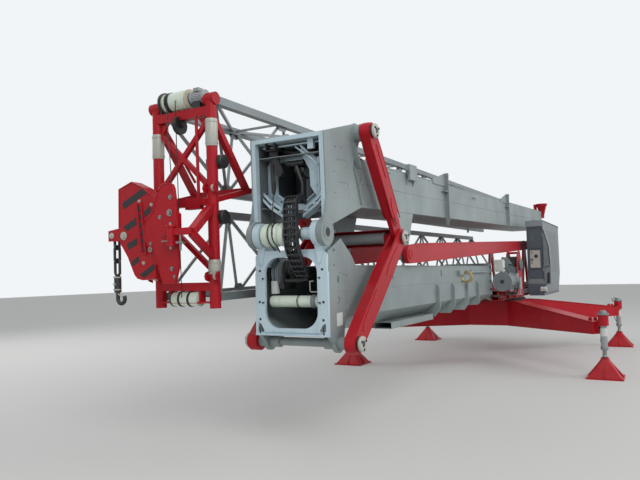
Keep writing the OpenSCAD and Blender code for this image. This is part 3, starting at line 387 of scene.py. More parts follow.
jack_grey = metal_finish("jack_grey", (0.33, 0.35, 0.36), 0.42, 0.1, rust=0.1)
pin_steel = metal_finish("turned_steel", (0.30, 0.30, 0.28), 0.35, 0.8, drift=0.4, dust=0.2, rust=0.25)
shell_white = metal_finish("shell_white", (0.62, 0.64, 0.62), 0.5, drift=0.2, dust=0.35, runs=0.3)
casting = metal_finish("motor_casting", (0.23, 0.26, 0.28), 0.5, 0.2, drift=0.3)
black_rubber = metal_finish("black_rubber", (0.012, 0.012, 0.014), 0.5, drift=0.2, speckle=0.3,
                            dust=0.15)
dress(jack_grey, "jack_tubes")
tube_r, cap_z, quarter = 0.0495, 1.025, math.pi / 4
white_bands, jack_caps, jack_pipes = bmesh.new(), bmesh.new(), bmesh.new()
for name, (sx, sy) in corners.items():
    dress(pin_steel, "jack_rod_" + name)
    dress(red_paint, "foot_pad_" + name)
    foot = Vector((sx * jack_half, sy * jack_half, 0))
    turned(white_bands, [(tube_r, 0.66), (0.0535, 0.662), (0.0535, 0.788), (tube_r, 0.79)], foot, "Z")
    turned(jack_caps, [(tube_r, 1.001), (0.088, 1.001), (0.092, 1.006), (0.092, 1.020), (0.088, cap_z),
                       (0.060, cap_z), (0.056, 1.055), (tube_r, 1.062)], foot, "Z")
    turned(jack_caps, [(0, 1.0601), (0.044, 1.0601), (0.040, 1.074), (0, 1.078)], foot, "Z")
    bolt_circle(jack_caps, (foot.x, foot.y, cap_z), "Z", 0.077, 8, 0.008)
    turned(jack_caps, [(0.033, 0.442), (0.056, 0.442), (0.058, 0.450), (0.058, 0.492), (0.052, 0.500),
                       (0.0505, 0.500), (0.0505, 0.449), (0.033, 0.449)], foot, "Z")
    inwards = Matrix.Translation(foot) @ Matrix.Rotation(math.atan2(sy, sx), 4, "Z")
    for path in ([(-0.11, 0.045, 0.99), (-0.112, 0.045, 1.05), (-0.07, 0.03, 1.075), (-0.03, 0.012, 1.070)],
                 [(-0.0505, 0.0, 0.56), (-0.075, 0.0, 0.56), (-0.085, 0.01, 0.60), (-0.11, 0.055, 0.80),
                  (-0.13, 0.075, 0.84)]):
        tube(jack_pipes, path, 0.007, 8, inwards)
    pad = bmesh.new()
    ring(pad, (foot.x, foot.y, 0.309), "Z", 0.042, 0.064, 0.010)
    bolt_circle(pad, (foot.x, foot.y, 0.025), "Z", 0.33, 4, 0.010, start=quarter)
    for a in angles(4, quarter):
        prism(pad, [(0.07, 0.255), (0.075, 0.255), (0.315, 0.045), (0.315, 0.030), (0.07, 0.22)], "Y", -0.004, 0.004,
              Matrix.Translation(foot) @ Matrix.Rotation(a, 4, "Z"))
    put("pad_fittings_" + name, pad, red_paint, "jack_" + name, 0.001)
put("jack_bands", white_bands, shell_white, "chassis", 0)
put("jack_caps", jack_caps, casting, "chassis", 0.001)
put("jack_pipes", jack_pipes, black_rubber, "chassis", 0)

# Platform: a ladder of rectangular steel tube on the slewing ring, in red
# enamel, with ribs outside and flange strips at top and bottom. The pins of
# the mast's foot and of the long arms are held by bolted plates.
pin = {joint["name"]: Vector(joint["pos_m"]) for joint in frame["joints"] if joint["type"] == "hinge"}
dress(red_paint, "platform_frame", "arm_posts")
dress(pin_steel, "foot_pins")
plat_low, plat_top, plat_half, plat_rear = 1.2003, 1.3803, 0.5, -2.88
rear_pin = pin["long_arm_swing"]
rails, pin_bolts = bmesh.new(), bmesh.new()
for side in (near, far):
    for x in (-2.5, -1.9, -1.0, -0.4, 0.4, 1.0, 1.55):
        slab(rails, side, (x, plat_half - 0.002, plat_low + 0.01), (x + 0.012, plat_half + 0.035, plat_top - 0.01))
    slab(rails, side, (plat_rear, plat_half - 0.05, plat_top - 0.010), (1.28, plat_half + 0.030, plat_top + 0.0015))
    slab(rails, side, (plat_rear, plat_half - 0.05, plat_low - 0.0005), (1.70, plat_half + 0.030, plat_low + 0.0105))
    bolt_circle(pin_bolts, (pin["mast_raise"].x, side * (plat_half + 0.025), pin["mast_raise"].z), "Y", 0.045, 4,
                0.009, side)
    bolt_circle(pin_bolts, (rear_pin.x, side * 0.511, rear_pin.z), "Y", 0.04, 3, 0.009, side)
put("platform_flanges", rails, red_paint, "platform", 0.0015)
put("foot_pin_bolts", pin_bolts, dark_steel, "platform", 0.0008)


# Hoist motor: a cast housing on feet with a ribbed fan cover, and the terminal
# box above it, a white moulding whose lid is held by four screws. Its cable
# bends down from a gland.
def window(bm, outer, inner, axis, low, high, at=HERE):
    """A plate with a hole; both outlines have equally many points."""
    skin(bm, [[bm.verts.new(at @ place(axis, a, b, s)) for a, b in line]
              for line, s in ((outer, low), (outer, high), (inner, high), (inner, low))], loop=True)


def oblong(y0, z0, y1, z1):
    """A rectangle's corners."""
    return [(y0, z0), (y1, z0), (y1, z1), (y0, z1)]


dress(casting, "hoist_motor")
dress(shell_white, "junction_box")
CENTRE = (0, 0, 0)
motor_r, box_rise = 0.17, 0.228
shaft_end = Vector((1.92, plat_half + 0.11, plat_top + motor_r))
motor = Matrix.Translation(shaft_end)
fan = bmesh.new()
turned(fan, [(0, 0.002), (0.155, 0.002), (0.163, 0.010), (0.172, 0.010), (0.172, -0.045), (0.168, -0.045),
             (0.168, -0.001), (0, -0.001)], CENTRE, "X", motor, 56)
for r in (0.05, 0.08, 0.11, 0.14):
    turned(fan, [(r - 0.004, 0.002), (r - 0.003, 0.008), (r + 0.003, 0.008), (r + 0.004, 0.002)], CENTRE, "X",
           motor, 48)
for a in angles(8):
    tube(fan, [(0.006, r * math.cos(a), r * math.sin(a)) for r in (0.03, 0.15)], 0.003, 6, motor)
bolt_circle(fan, (-0.09, 0, 0), "X", 0.161, 8, 0.008, -1, motor)
put("motor_fan_cover", fan, casting, "platform", 0.001)
hub_cap = bmesh.new()
turned(hub_cap, [(0, 0.004), (0.034, 0.004), (0.030, 0.016), (0, 0.020)], CENTRE, "X", motor)
for x in (-0.42, -0.22):
    for y in (-0.09, 0.09):
        bolt(hub_cap, (x, y, 0.04 - motor_r), "Z", 0.010, at=motor)
tube(hub_cap, [(-0.12, 0.02, 0.24), (-0.08, 0.06, 0.24), (-0.06, 0.10, 0.16), (-0.06, 0.12, -0.10)], 0.011, 10, motor)
put("motor_hub_cap", hub_cap, dark_steel, "platform", 0.001)
lid = bmesh.new()
lid_top = motor @ Matrix.Translation((0, 0, motor_r + box_rise))
for x in (-0.185, -0.035):
    for y in (-0.118, -0.004):
        disc(lid, (x, y, -0.001), "Z", 0.008, 0.004, lid_top, 12)
window(lid, oblong(-0.130, -0.19, 0.010, -0.035), oblong(-0.118, -0.178, -0.002, -0.047), "X", -0.021, -0.015, lid_top)
for y in (-0.11, -0.06, -0.01):
    turned(lid, [(0.006, 0), (0.014, 0), (0.014, 0.03), (0.006, 0.034)], (-0.12, y, -box_rise), "Z", lid_top, 12)
put("terminal_box_lid", lid, shell_white, "platform", 0.001)

# Winch behind the motor: a rope drum between two welded side plates on a base
# plate, with a guard at its back, a bolted gear cap outside and the motor's
# back plate before it. All of it is bolted to the platform's rail. The guard
# and its gear cap are in a darker copy of the galvanised finish, which is painted
# shade, and the guard plate is a dark sheet standing in for the shade behind the drum.
galvanised = metal_finish("galvanised_sheet", (0.30, 0.35, 0.35), 0.48, 0.25, drift=0.55, speckle=0.35,
                          dust=0.25, runs=0.35, bump=0.12)
# A darker copy of the galvanised finish: painted shade, for sheet that lies in shade in the winch and the upper mouth.
zinc_painted_shade = metal_finish("galvanised_painted_shade", (0.16, 0.175, 0.18), 0.55, 0.2, drift=0.5, speckle=0.4)
wire_rope = metal_finish("wire_rope", (0.03, 0.03, 0.032), 0.45, 0.5, drift=0.3, speckle=0.5, dust=0.1)
winch_in, winch_out, drum_r, flange_r = 0.50, 0.70, 0.15, 0.20
winch = Matrix.Translation((0.82, 0, 1.86))
cheeks = bmesh.new()
for y in (winch_in, winch_out):
    prism(cheeks, [(-0.30, -0.57), (0.34, -0.57), (0.30, -0.36), (0.16, 0.20), (0.05, 0.28), (-0.12, 0.26),
                   (-0.26, -0.06)], "Y", y, y + 0.012, winch)
for x, z in ((-0.22, -0.44), (0.22, -0.44), (-0.02, 0.23)):
    tube(cheeks, [(x, winch_in, z), (x, winch_out + 0.012, z)], 0.022, 16, winch)
block(cheeks, (-0.32, 0.30, -0.585), (0.36, winch_out + 0.02, -0.568), winch)
put("winch_sides", cheeks, red_paint, "platform", 0.002)
drum = bmesh.new()
turned(drum, [(0.03, winch_in + 0.014), (flange_r, winch_in + 0.014), (flange_r, winch_in + 0.026),
              (drum_r, winch_in + 0.03), (drum_r, winch_out - 0.02), (flange_r, winch_out - 0.016),
              (flange_r, winch_out - 0.004), (0.03, winch_out - 0.004)], CENTRE, "Y", winch, 48)
for k in range(11):
    turned(drum, [(0.149, -0.0075), (0.158, -0.006), (0.1605, 0), (0.158, 0.006), (0.149, 0.0075)],
           (0, winch_in + 0.036 + k * 0.0132, 0), "Y", winch)
put("winch_drum", drum, wire_rope, "platform", 0)
guard = bmesh.new()
block(guard, (-0.262, winch_in + 0.013, -0.56), (-0.25, winch_out - 0.001, 0.16), winch)
turned(guard, [(0.002, 0.012), (0.11, 0.012), (0.12, 0.03), (0.12, 0.045), (0.10, 0.06), (0.002, 0.06)],
       (0, winch_out, 0), "Y", winch)
bolt_circle(guard, (0, winch_out + 0.06, 0), "Y", 0.08, 6, 0.009, at=winch)
put("winch_guard", guard, zinc_painted_shade, "platform", 0.002)
back_plate = bmesh.new()
prism(back_plate, [(0.45, 2.01), (0.57, 2.00), (0.72, 1.75), (0.74, 1.40), (0.70, 1.29), (0.45, 1.29)], "X", 1.17,
      1.182)
for y, z in ((0.48, 1.96), (0.55, 1.96), (0.69, 1.76), (0.70, 1.42)):
    bolt(back_plate, (1.182, y, z), "X", 0.010)
put("motor_back_plate", back_plate, galvanised, "platform", 0.001)

# Valve block: a machined block on a bracket beside the motor, with three
# solenoids in front and two on top. Black pressure pipes run to the rail.
valve, valve_pipes = bmesh.new(), bmesh.new()
block(valve, (1.20, 0.69, 1.40), (1.34, 0.815, 1.62))
for z in (1.44, 1.51, 1.58):
    turned(valve, [(0.0005, 0), (0.022, 0), (0.024, 0.01), (0.024, 0.055), (0.016, 0.06), (0.016, 0.085),
                   (0.0005, 0.085)], (1.34, 0.76, z), "X", sides=20)
for x in (1.23, 1.31):
    turned(valve, [(0.0005, 0), (0.018, 0), (0.018, 0.05), (0.012, 0.055), (0.012, 0.08), (0.0005, 0.08)],
           (x, 0.75, 1.62), "Z", sides=18)
block(valve, (1.18, 0.55, 1.29), (1.36, 0.82, 1.302))
for y in (0.71, 0.79):
    block(valve, (1.25, y - 0.01, 1.30), (1.29, y + 0.01, 1.41))
put("valve_block", valve, jack_grey, "platform", 0.002)
for path in ([(1.34, 0.71, 1.45), (1.43, 0.71, 1.44), (1.46, 0.71, 1.38), (1.44, 0.69, 1.31), (1.30, 0.62, 1.30)],
             [(1.34, 0.79, 1.52), (1.41, 0.79, 1.51), (1.44, 0.79, 1.42), (1.42, 0.75, 1.32), (1.20, 0.66, 1.305)],
             [(1.23, 0.75, 1.69), (1.22, 0.745, 1.76), (1.15, 0.72, 1.80), (1.02, 0.706, 1.78)],
             [(1.31, 0.75, 1.69), (1.32, 0.73, 1.80), (1.28, 0.66, 1.86), (1.182, 0.60, 1.86)]):
    tube(valve_pipes, path, 0.012)
put("valve_pipes", valve_pipes, black_rubber, "platform", 0)

# Control cabinet: a folded steel case in grey powder coat, with a pale cap, a
# black trim, a pressed side, a wedge-shaped side case and sockets. A black
# skirt along its foot and a black plate at the foot of its front are painted
# shadow under the case. Lifting handles are welded on its roof.
cabinet_grey = metal_finish("powder_grey", (0.20, 0.225, 0.235), 0.5, drift=0.2, speckle=0.35)
cabinet_dark = metal_finish("powder_black", (0.075, 0.10, 0.12), 0.4, drift=0.2, dust=0.35)
dress(cabinet_grey, "cabinet")
dress(cabinet_dark, "cabinet_door")
cab_w, cab_top, cab_low = 0.33, 2.79, 1.2603
case = Matrix.Translation((-0.5, 0.636, 0))
outside = case @ Matrix.Translation((0, cab_w, 0))
cap = bmesh.new()
prism(cap, [(0.03, cab_top - 0.115), (0.03, cab_top + 0.006), (-2.30, cab_top + 0.006), (-2.36, cab_top - 0.04),
            (-2.36, cab_top - 0.02), (-2.30, cab_top + 0.0155), (0.036, cab_top + 0.0155), (0.042, cab_top + 0.009),
            (0.042, cab_top - 0.115)], "Y", -0.012, cab_w + 0.012, case)
put("cabinet_cap", cap, casting, "platform", 0.002)
trim = bmesh.new()
for y in (0.001, cab_w - 0.012):
    block(trim, (0, y, 1.52), (0.012, y + 0.011, 2.66), case)
block(trim, (0, 0.002, 2.64), (0.014, cab_w - 0.002, 2.675), case)
# Black skirt and foot plate: painted shadow, dark where shade falls under the cabinet.
block(trim, (-2.2, 0.02, cab_low - 0.055), (0.02, cab_w - 0.01, cab_low + 0.008), case)
prism(trim, [(0, cab_low + 0.01), (cab_w + 0.03, cab_low + 0.01), (cab_w + 0.03, cab_low + 0.19),
             (0, cab_low + 0.20)], "X", 0, 0.022, case)
put("cabinet_trim_and_painted_shadow", trim, cabinet_dark, "platform", 0.002)
side_case, seams, sockets, pressings = (bmesh.new() for _ in range(4))
prism(side_case, [(0, 2.66), (0.11, 2.24), (0.13, 1.82), (0.13, 1.45), (0, 1.42)], "X", -0.22, -0.03, outside)
for z in (1.62, 1.95, 2.2):
    block(side_case, (-0.032, 0.02, z), (-0.024, 0.10, z + 0.02), outside)
put("cabinet_side_case", side_case, cabinet_grey, "platform", 0.006)
seam_x = -0.028
tube(seams, [(seam_x, y, z) for y, z in ((0.006, 2.60), (0.04, 2.47), (0.095, 2.25), (0.115, 1.86))], 0.008, 8, outside)
tube(seams, [(seam_x, 0.006, 1.80), (seam_x, 0.118, 1.83)], 0.007, 8, outside)
# The dark patch low on the side case is painted shade for the slot there; the two lines are dark seams.
prism(seams, [(0.045, 1.46), (0.10, 1.47), (0.105, 1.70), (0.06, 1.68)], "X", seam_x - 0.01, seam_x + 0.004, outside)
put("cabinet_seams", seams, black_rubber, "platform", 0)
for y in (-0.05, 0.01):
    turned(sockets, [(0, 0), (0.030, 0), (0.034, 0.01), (0.034, 0.05), (0.026, 0.055), (0.026, 0.075), (0, 0.075)],
           (0, y, 1.36), "X", outside, 24)
block(sockets, (-0.01, -0.09, 1.30), (0.05, 0.05, 1.335), outside)
put("power_sockets", sockets, shell_white, "platform", 0.002)
for k in range(9):
    x = -0.35 - k * 0.2
    block(pressings, (x - 0.05, -0.002, 1.70), (x, 0.004, 2.62), outside)
for x in (-0.22, -2.22):
    tube(pressings, [(x, 0.06, cab_top + 0.012), (x, 0.06, cab_top + 0.04), (x, 0.14, cab_top + 0.04),
                     (x, 0.14, cab_top + 0.012)], 0.007, 8, case)
put("cabinet_panels", pressings, cabinet_grey, "platform", 0.002)

# Cabinet door: black powder-coated sheet with a cream panel let into it. A
# rotary knob and three push buttons are screwed into the panel.
black_nylon = metal_finish("black_nylon", (0.018, 0.021, 0.026), 0.42, drift=0.2, speckle=0.3, dust=0.12)
cream_steel = metal_finish("cream_steel", (0.50, 0.50, 0.44), 0.42, 0.1, drift=0.35, speckle=0.3,
                           rust=0.12)
panel, controls = bmesh.new(), bmesh.new()
block(panel, (0.004, 0.058, 1.795), (0.020, 0.262, 2.165), case)
put("door_panel", panel, cream_steel, "cabinet_door", 0.004)
turned(controls, [(0, 0), (0.036, 0), (0.034, 0.022), (0.026, 0.026), (0, 0.026)], (0.019, 0.185, 2.045), "X", case, 32)
block(controls, (0.041, 0.177, 2.015), (0.055, 0.193, 2.075), case)
for z in (1.76, 2.20):
    block(controls, (-0.001, 0.045, z - 0.005), (0.0035, cab_w - 0.045, z + 0.005), case)
for z in (1.90, 1.98, 2.12):
    turned(controls, [(0, 0), (0.013, 0), (0.012, 0.010), (0, 0.012)], (0.019, 0.095, z), "X", case, 20)
put("door_controls", controls, black_nylon, "cabinet_door", 0.001)

# Lower mast: a closed box folded from galvanised sheet, with pressed lines and
# edges along its sides, rows of rib bolts, clips, and a bare label plate. Its
# foot is bolted on through flanges.
dress(galvanised, "lower_mast_box", "mast_foot_frame", "mast_ribs", "lower_link_axle")
mast_half, mast_top = 0.4, 1.84


def strip(bm, side, path, y, radius=0.0045, at=HERE):
    """A pressed line along a side's outer face."""
    tube(bm, [(x, side * y, z) for x, z in path], radius, 8, at)


def spots(bm, side, places, y, at=HERE):
    """Holes in a side's outer face, drawn as dark discs of painted shade: x, z and radius."""
    for x, z, r in places:
        disc(bm, (x, side * (y - 0.003), z), "Y", r, side * 0.0042, at, 16)


lower_lines, lower_press, lower_holes, clips, foot_bolts, label = (bmesh.new() for _ in range(6))
for side in (near, far):
    strip(lower_lines, side, [(2.0, 1.60), (7.20, 1.60)], mast_half - 0.001, 0.005)
    strip(lower_lines, side, [(2.0, mast_top - 0.012), (7.5, mast_top - 0.012)], mast_half - 0.002, 0.007)
    for line in ([(7.934, 1.773), (7.80, 1.757), (7.769, 1.749), (7.752, 1.738), (7.746, 1.725)],
                 [(7.927, 1.603), (7.75, 1.601), (7.60, 1.598)], [(7.52, 1.598), (7.203, 1.589)],
                 [(7.937, 1.413), (7.787, 1.419), (7.752, 1.435), (7.742, 1.46)],
                 [(7.64, 1.80), (7.56, 1.80), (7.53, 1.79)]):
        strip(lower_press, side, line, mast_half - 0.001)
    spots(lower_holes, side, ((8.004, 1.982, 0.010), (8.011, 1.835, 0.010), (7.576, 1.83, 0.009)), mast_half)
    prism(lower_holes, [(7.938 + 0.017 * math.cos(a), 1.705 + 0.034 * math.sin(a)) for a in angles(20)], "Y",
          *spread(side, mast_half - 0.003, mast_half + 0.0012))
    tube(lower_holes, [(7.939 + 0.022 * math.cos(a), side * mast_half, 1.51 + 0.03 * math.sin(a))
                       for a in (math.radians(40 + 260 * k / 14) for k in range(15))], 0.0035, 8)
    for x in (6.55, 4.75, 3.2):
        slab(clips, side, (x, mast_half, 1.70), (x + 0.05, mast_half + 0.014, 1.78))
    for x in (5.034, 4.324, 3.584, 2.924):
        for z in (1.50, 1.44):
            bolt(clips, (x, side * (mast_half + 0.030), z), "X", 0.009)
    for z in (1.42, 1.56, 1.70, 1.82):
        bolt(foot_bolts, (1.93, side * 0.412, z), "X", 0.012, -1)
        bolt(foot_bolts, (1.95, side * 0.415, z), "X", 0.012, 1)
prism(label, [(7.862, 1.27), (7.98, 1.264), (7.982, 1.386), (7.864, 1.393)], "Y", mast_half, mast_half + 0.0016)
put("lower_side_lines", lower_lines, galvanised, "lower_mast", 0)
put("lower_press_lines", lower_press, galvanised, "lower_mast", 0)
# The holes, the oval slot and the ring's groove are drawn dark: painted shade for the dark seen in them.
put("lower_plate_holes", lower_holes, cabinet_dark, "lower_mast", 0)
put("side_clips", clips, galvanised, "lower_mast", 0.001)
put("foot_flange_bolts", foot_bolts, dark_steel, "lower_mast", 0.0008)
put("bare_label_plate", label, shell_white, "lower_mast", 0.0005)

# Cable hoop: a turned brass ring on the lower mast's near side, through which
# cables are led, and the galvanised rail behind it on three welded feet.
brass = metal_finish("brass", (0.42, 0.34, 0.16), 0.4, 0.6, drift=0.4, speckle=0.3, rust=0.1)
hoop, hoop_rail = bmesh.new(), bmesh.new()
hoop_y = mast_half + 0.065
turned(hoop, [(0.060, -0.03), (0.068, -0.035), (0.092, -0.03), (0.098, 0), (0.092, 0.03), (0.068, 0.035),
              (0.060, 0.03), (0.055, 0)], (3.72, hoop_y, 1.665), "X", sides=48)
put("cable_hoop", hoop, brass, "lower_mast", 0)
tube(hoop_rail, [(x, hoop_y - 0.03, 1.735) for x in (3.62, 2.35)], 0.014)
for x in (3.55, 2.95, 2.4):
    block(hoop_rail, (x, mast_half - 0.002, 1.72), (x + 0.04, hoop_y - 0.02, 1.75))
block(hoop_rail, (3.80, mast_half - 0.002, 1.70), (4.02, mast_half + 0.05, 1.765))
put("hoop_rail", hoop_rail, galvanised, "lower_mast", 0.001)

# End plate of the lower mast: bright zinc-plated steel with a sill, stems
# under the ears and a row of studs and slots, bolted to the box's front.
plate_zinc = metal_finish("zinc_plate", (0.55, 0.69, 0.755), 0.42, 0.15, drift=0.35, speckle=0.15,
                          dust=0.2, runs=0.35)
dress(plate_zinc, "lower_mast_end", "upper_mast_end")
knee = pin["knee_unfold"]
face_x = knee.x - 0.003
sill, studs = bmesh.new(), bmesh.new()
block(sill, (face_x - 0.002, -0.385, 1.186), (face_x + 0.035, 0.385, 1.198))
block(sill, (face_x - 0.002, -0.30, 1.215), (face_x + 0.012, 0.33, 1.232))
for side in (near, far):
    prism(sill, [(side * y, z) for y, z in ((0.272, 2.03), (0.366, 2.03), (0.352, 1.94), (0.336, 1.862),
                                            (0.322, 1.85), (0.308, 1.862), (0.292, 1.94))],
          "X", face_x - 0.002, face_x + 0.016)
    for y, z in ((0.345, 1.80), (0.352, 1.50), (0.348, 1.335), (0.305, 1.935)):
        bolt(studs, (face_x, side * y, z), "X", 0.008)
    for z in (1.725, 1.495):
        slab(studs, side, (face_x - 0.004, 0.296, z - 0.006), (face_x + 0.002, 0.324, z + 0.006))
        slab(studs, side, (face_x - 0.004, 0.311, z - 0.016), (face_x + 0.0025, 0.321, z + 0.004))
    tube(studs, [(face_x, side * 0.35, 1.20), (face_x + 0.01, side * 0.352, 1.27)], 0.006, 8)
put("mouth_sill", sill, plate_zinc, "lower_mast", 0.004)
put("end_plate_studs", studs, dark_steel, "lower_mast", 0.0008)

# Lower mouth: what shows in the mast's open end. Two cast rope sheaves on an
# oiled carrier, a white sensor box and a bent wire bracket.
sheave_at, sheave_r = Vector((7.9, 0, 1.775)), 0.155
sheaves, carrier, sensor, wire = (bmesh.new() for _ in range(4))
for y in (-0.275, -0.235):
    turned(sheaves, [(0.03, 0), (sheave_r - 0.03, 0.004), (sheave_r, 0), (sheave_r, 0.006),
                     (sheave_r - 0.018, 0.014), (sheave_r, 0.022), (sheave_r, 0.028), (sheave_r - 0.03, 0.024),
                     (0.03, 0.028)], sheave_at + Vector((0, y, 0)), "Y", sides=64)
put("rope_sheaves", sheaves, casting, "lower_mast", 0.001)
prism(carrier, [(7.87, 1.66), (7.93, 1.66), (7.96, 1.80), (7.93, 1.90), (7.87, 1.90), (7.84, 1.80)], "Y", -0.19,
      -0.178)
prism(carrier, [(7.80, 1.62), (8.0, 1.62), (8.02, 1.69), (7.78, 1.69)], "Y", -0.30, -0.16)
tube(carrier, [(sheave_at.x, y, sheave_at.z) for y in (-0.3, -0.12)], 0.022, 20)
disc(carrier, (sheave_at.x, -0.14, sheave_at.z), "Y", 0.04, 0.03)
tube(carrier, [(7.98, -0.16, 1.70), (7.98, 0.02, 1.70), (7.98, 0.10, 1.715)], 0.018, 16)
tube(carrier, [(7.96, -0.13, 1.90), (7.97, -0.125, 1.84), (7.97, -0.12, 1.775)], 0.012)
block(carrier, (7.86, -0.33, 1.60), (7.94, -0.29, 1.94))
put("sheave_carrier", carrier, dark_steel, "lower_mast", 0.002)
block(sensor, (7.99, -0.286, 1.575), (8.04, -0.222, 1.70))
for z in (1.59, 1.685):
    disc(sensor, (8.0405, -0.254, z), "X", 0.007, 0.003, sides=12)
put("sensor_box", sensor, shell_white, "lower_mast", 0.006)
for path in ([(0.145, 1.690), (0.148, 1.600), (0.160, 1.590), (0.262, 1.590)], [(0.145, 1.690), (0.185, 1.693)]):
    tube(wire, [(8.03, y, z) for y, z in path], 0.006, 10)
block(wire, (8.0, 0.245, 1.575), (8.04, 0.285, 1.605))
put("wire_bracket", wire, cream_steel, "lower_mast", 0.001)

# Guide roller in the mouth: a turned ivory nylon roller with a cast end cap
# on six bolts, and two dark marks where the ropes run.
ivory = metal_finish("ivory_nylon", (0.67, 0.76, 0.64), 0.45, speckle=0.1, dust=0.25, runs=0.3)
dress(ivory, "mast_roller", "knee_pulley", "jib_roller")
roll = pin["mast_roller_spin"]
roller_cap, rope_marks = bmesh.new(), bmesh.new()
turned(roller_cap, [(0.024, 0.165), (0.061, 0.165), (0.066, 0.175), (0.066, 0.205), (0.052, 0.22), (0.024, 0.22)],
       (roll.x, 0, roll.z), "Y")
bolt_circle(roller_cap, (roll.x, 0.22, roll.z), "Y", 0.04, 6, 0.006)
put("roller_cap", roller_cap, casting, "mast_roller", 0.001)
for y in (0.015, 0.027):
    turned(rope_marks, [(0.053, -0.004), (0.058, -0.003), (0.0595, 0), (0.058, 0.003), (0.053, 0.004)],
           (roll.x, y, roll.z), "Y")
put("roller_rope_marks", rope_marks, black_rubber, "mast_roller", 0)

# Knee: the pin through both masts' plates. Zinc-plated sleeves sit between
# pulley and ears, seats are welded on the plates, and the pin's ends show.
axle = (knee.x, 0, knee.z)
sleeves, seats, ends = bmesh.new(), bmesh.new(), bmesh.new()
turned(sleeves, [(0.046, 0.16), (0.058, 0.16), (0.058, 0.235), (0.072, 0.245), (0.072, 0.288), (0.046, 0.288)],
       axle, "Y")
turned(sleeves, [(0.0455, -0.289), (0.07, -0.289), (0.07, -0.2845), (0.0455, -0.2845)], axle, "Y")
plate_out, pin_out = 0.414, 0.4182
for side in (near, far):
    ring(sleeves, (knee.x, side * 0.2895, knee.z), "Y", 0.088, 0.112, side * -0.005, sides=64)
    ring(seats, (knee.x, side * plate_out, knee.z), "Y", 0.047, 0.074, side * 0.0034, sides=64)
    turned(ends, [(r, side * y) for r, y in ((0, pin_out), (0.018, pin_out), (0.026, 0.4195), (0.034, pin_out),
                                             (0.0405, 0.4187), (0.0405, 0.4165), (0, 0.4165))], axle, "Y")
put("knee_sleeves", sleeves, plate_zinc, "lower_mast", 0.001)
put("knee_pin_seats", seats, galvanised, "upper_mast", 0.001)
put("knee_pin_ends", ends, dark_steel, "lower_mast", 0)

# Knee ropes: two taut wire ropes wrapped over the knee pulley and led down to
# the sheaves, and one strand that runs up to the latch arm.
upper = Matrix.Translation(knee) @ Matrix.Rotation(math.radians(1.95), 4, "Y")
rope_r = 0.006


def wrap(y_from, y_to, start, stop, steps=24):
    """Points of a strand over the pulley between two angles in degrees."""
    reach = 0.112 + rope_r
    return [(knee.x + reach * math.cos(math.radians(start + (stop - start) * k / steps)),
             y_from + (y_to - y_from) * k / steps,
             knee.z + reach * math.sin(math.radians(start + (stop - start) * k / steps))) for k in range(steps + 1)]


ropes, strand = bmesh.new(), bmesh.new()
tube(ropes, wrap(-0.185, -0.165, 120, -60) + [(8.13, -0.17, 1.98), (8.03, -0.2, 1.90), (7.98, -0.222, 1.87)],
     rope_r, 10)
tube(ropes, wrap(-0.135, -0.11, 100, -70) + [(8.14, -0.11, 1.97), (8.10, -0.105, 1.93)], rope_r, 10)
tube(strand, [(0.112, -0.118, 0.0), (0.108, -0.12, 0.10), (0.02, -0.142, 0.45), (-0.10, -0.17, 0.84)], 0.005, 10,
     upper)
put("pulley_ropes", ropes, wire_rope, "lower_mast", 0)
put("latch_rope", strand, wire_rope, "upper_mast", 0)

# Cable chain: black nylon links of two side plates and two rungs each, snapped
# together, with three cables inside. It hangs over the knee on one route.
route = [Vector((x / 1000, z / 1000)) for x, z in (
    (-78, 295), (-36.6, 338.3), (22.9, 346), (74, 314.5), (94, 258), (94, 198), (94, 138), (94, 78), (94, 18),
    (93, -42), (85, -102), (67, -158), (30.2, -212.6), (-2.2, -266.6), (-40, -314), (-82, -357), (-122, -399))]
chain, cables = bmesh.new(), bmesh.new()
chain_low, chain_high, lap = 0.006, 0.150, 0.006
for k, (start, stop) in enumerate(zip(route, route[1:])):
    length = (stop - start).length
    along = (stop - start).normalized()
    across = Vector((-along.y, along.x))

    def on_link(*places):
        """Points along and across this link, in world X and Z."""
        return [(knee.x + p.x, knee.z + p.y) for p in (start + along * s + across * t for s, t in places)]

    inset = 0.003 if k % 2 else 0.0
    bone = on_link((-lap, -0.018), (0.010, -0.026), (length - 0.010, -0.026), (length + lap, -0.018),
                   (length + lap, 0.018), (length - 0.010, 0.026), (0.010, 0.026), (-lap, 0.018))
    for low in (chain_low + inset, chain_high - 0.012 - inset):
        prism(chain, bone, "Y", low, low + 0.012)
    for t in (-0.025, 0.020):
        prism(chain, on_link(*oblong(length * 0.32, t, length * 0.68, t + 0.005)), "Y", chain_low + 0.008,
              chain_high - 0.008)
chain_piece = put("energy_chain", chain, black_nylon, "lower_mast", 0.0008)
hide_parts("cable_chain")
for y, thick in ((0.040, 0.013), (0.072, 0.009), (0.108, 0.014)):
    tube(cables, [(knee.x + p.x, y, knee.z + p.y) for p in route], thick, 10)
put("chain_cables", cables, black_rubber, "lower_mast", 0)

# Upper mast: a galvanised box like the lower one, with knee plates whose ribs
# and seams are pressed in and whose holes are dark discs of painted shade, fins
# under the top pin, and brackets along its sides with gussets, bolts and bent handles.
dress(galvanised, "upper_mast_box", "knee_plates", "mast_brackets")


def local(x, z):
    """World X and Z in the folded upper mast's own frame."""
    spot = upper.inverted() @ Vector((x, 0, z))
    return spot.x, spot.z


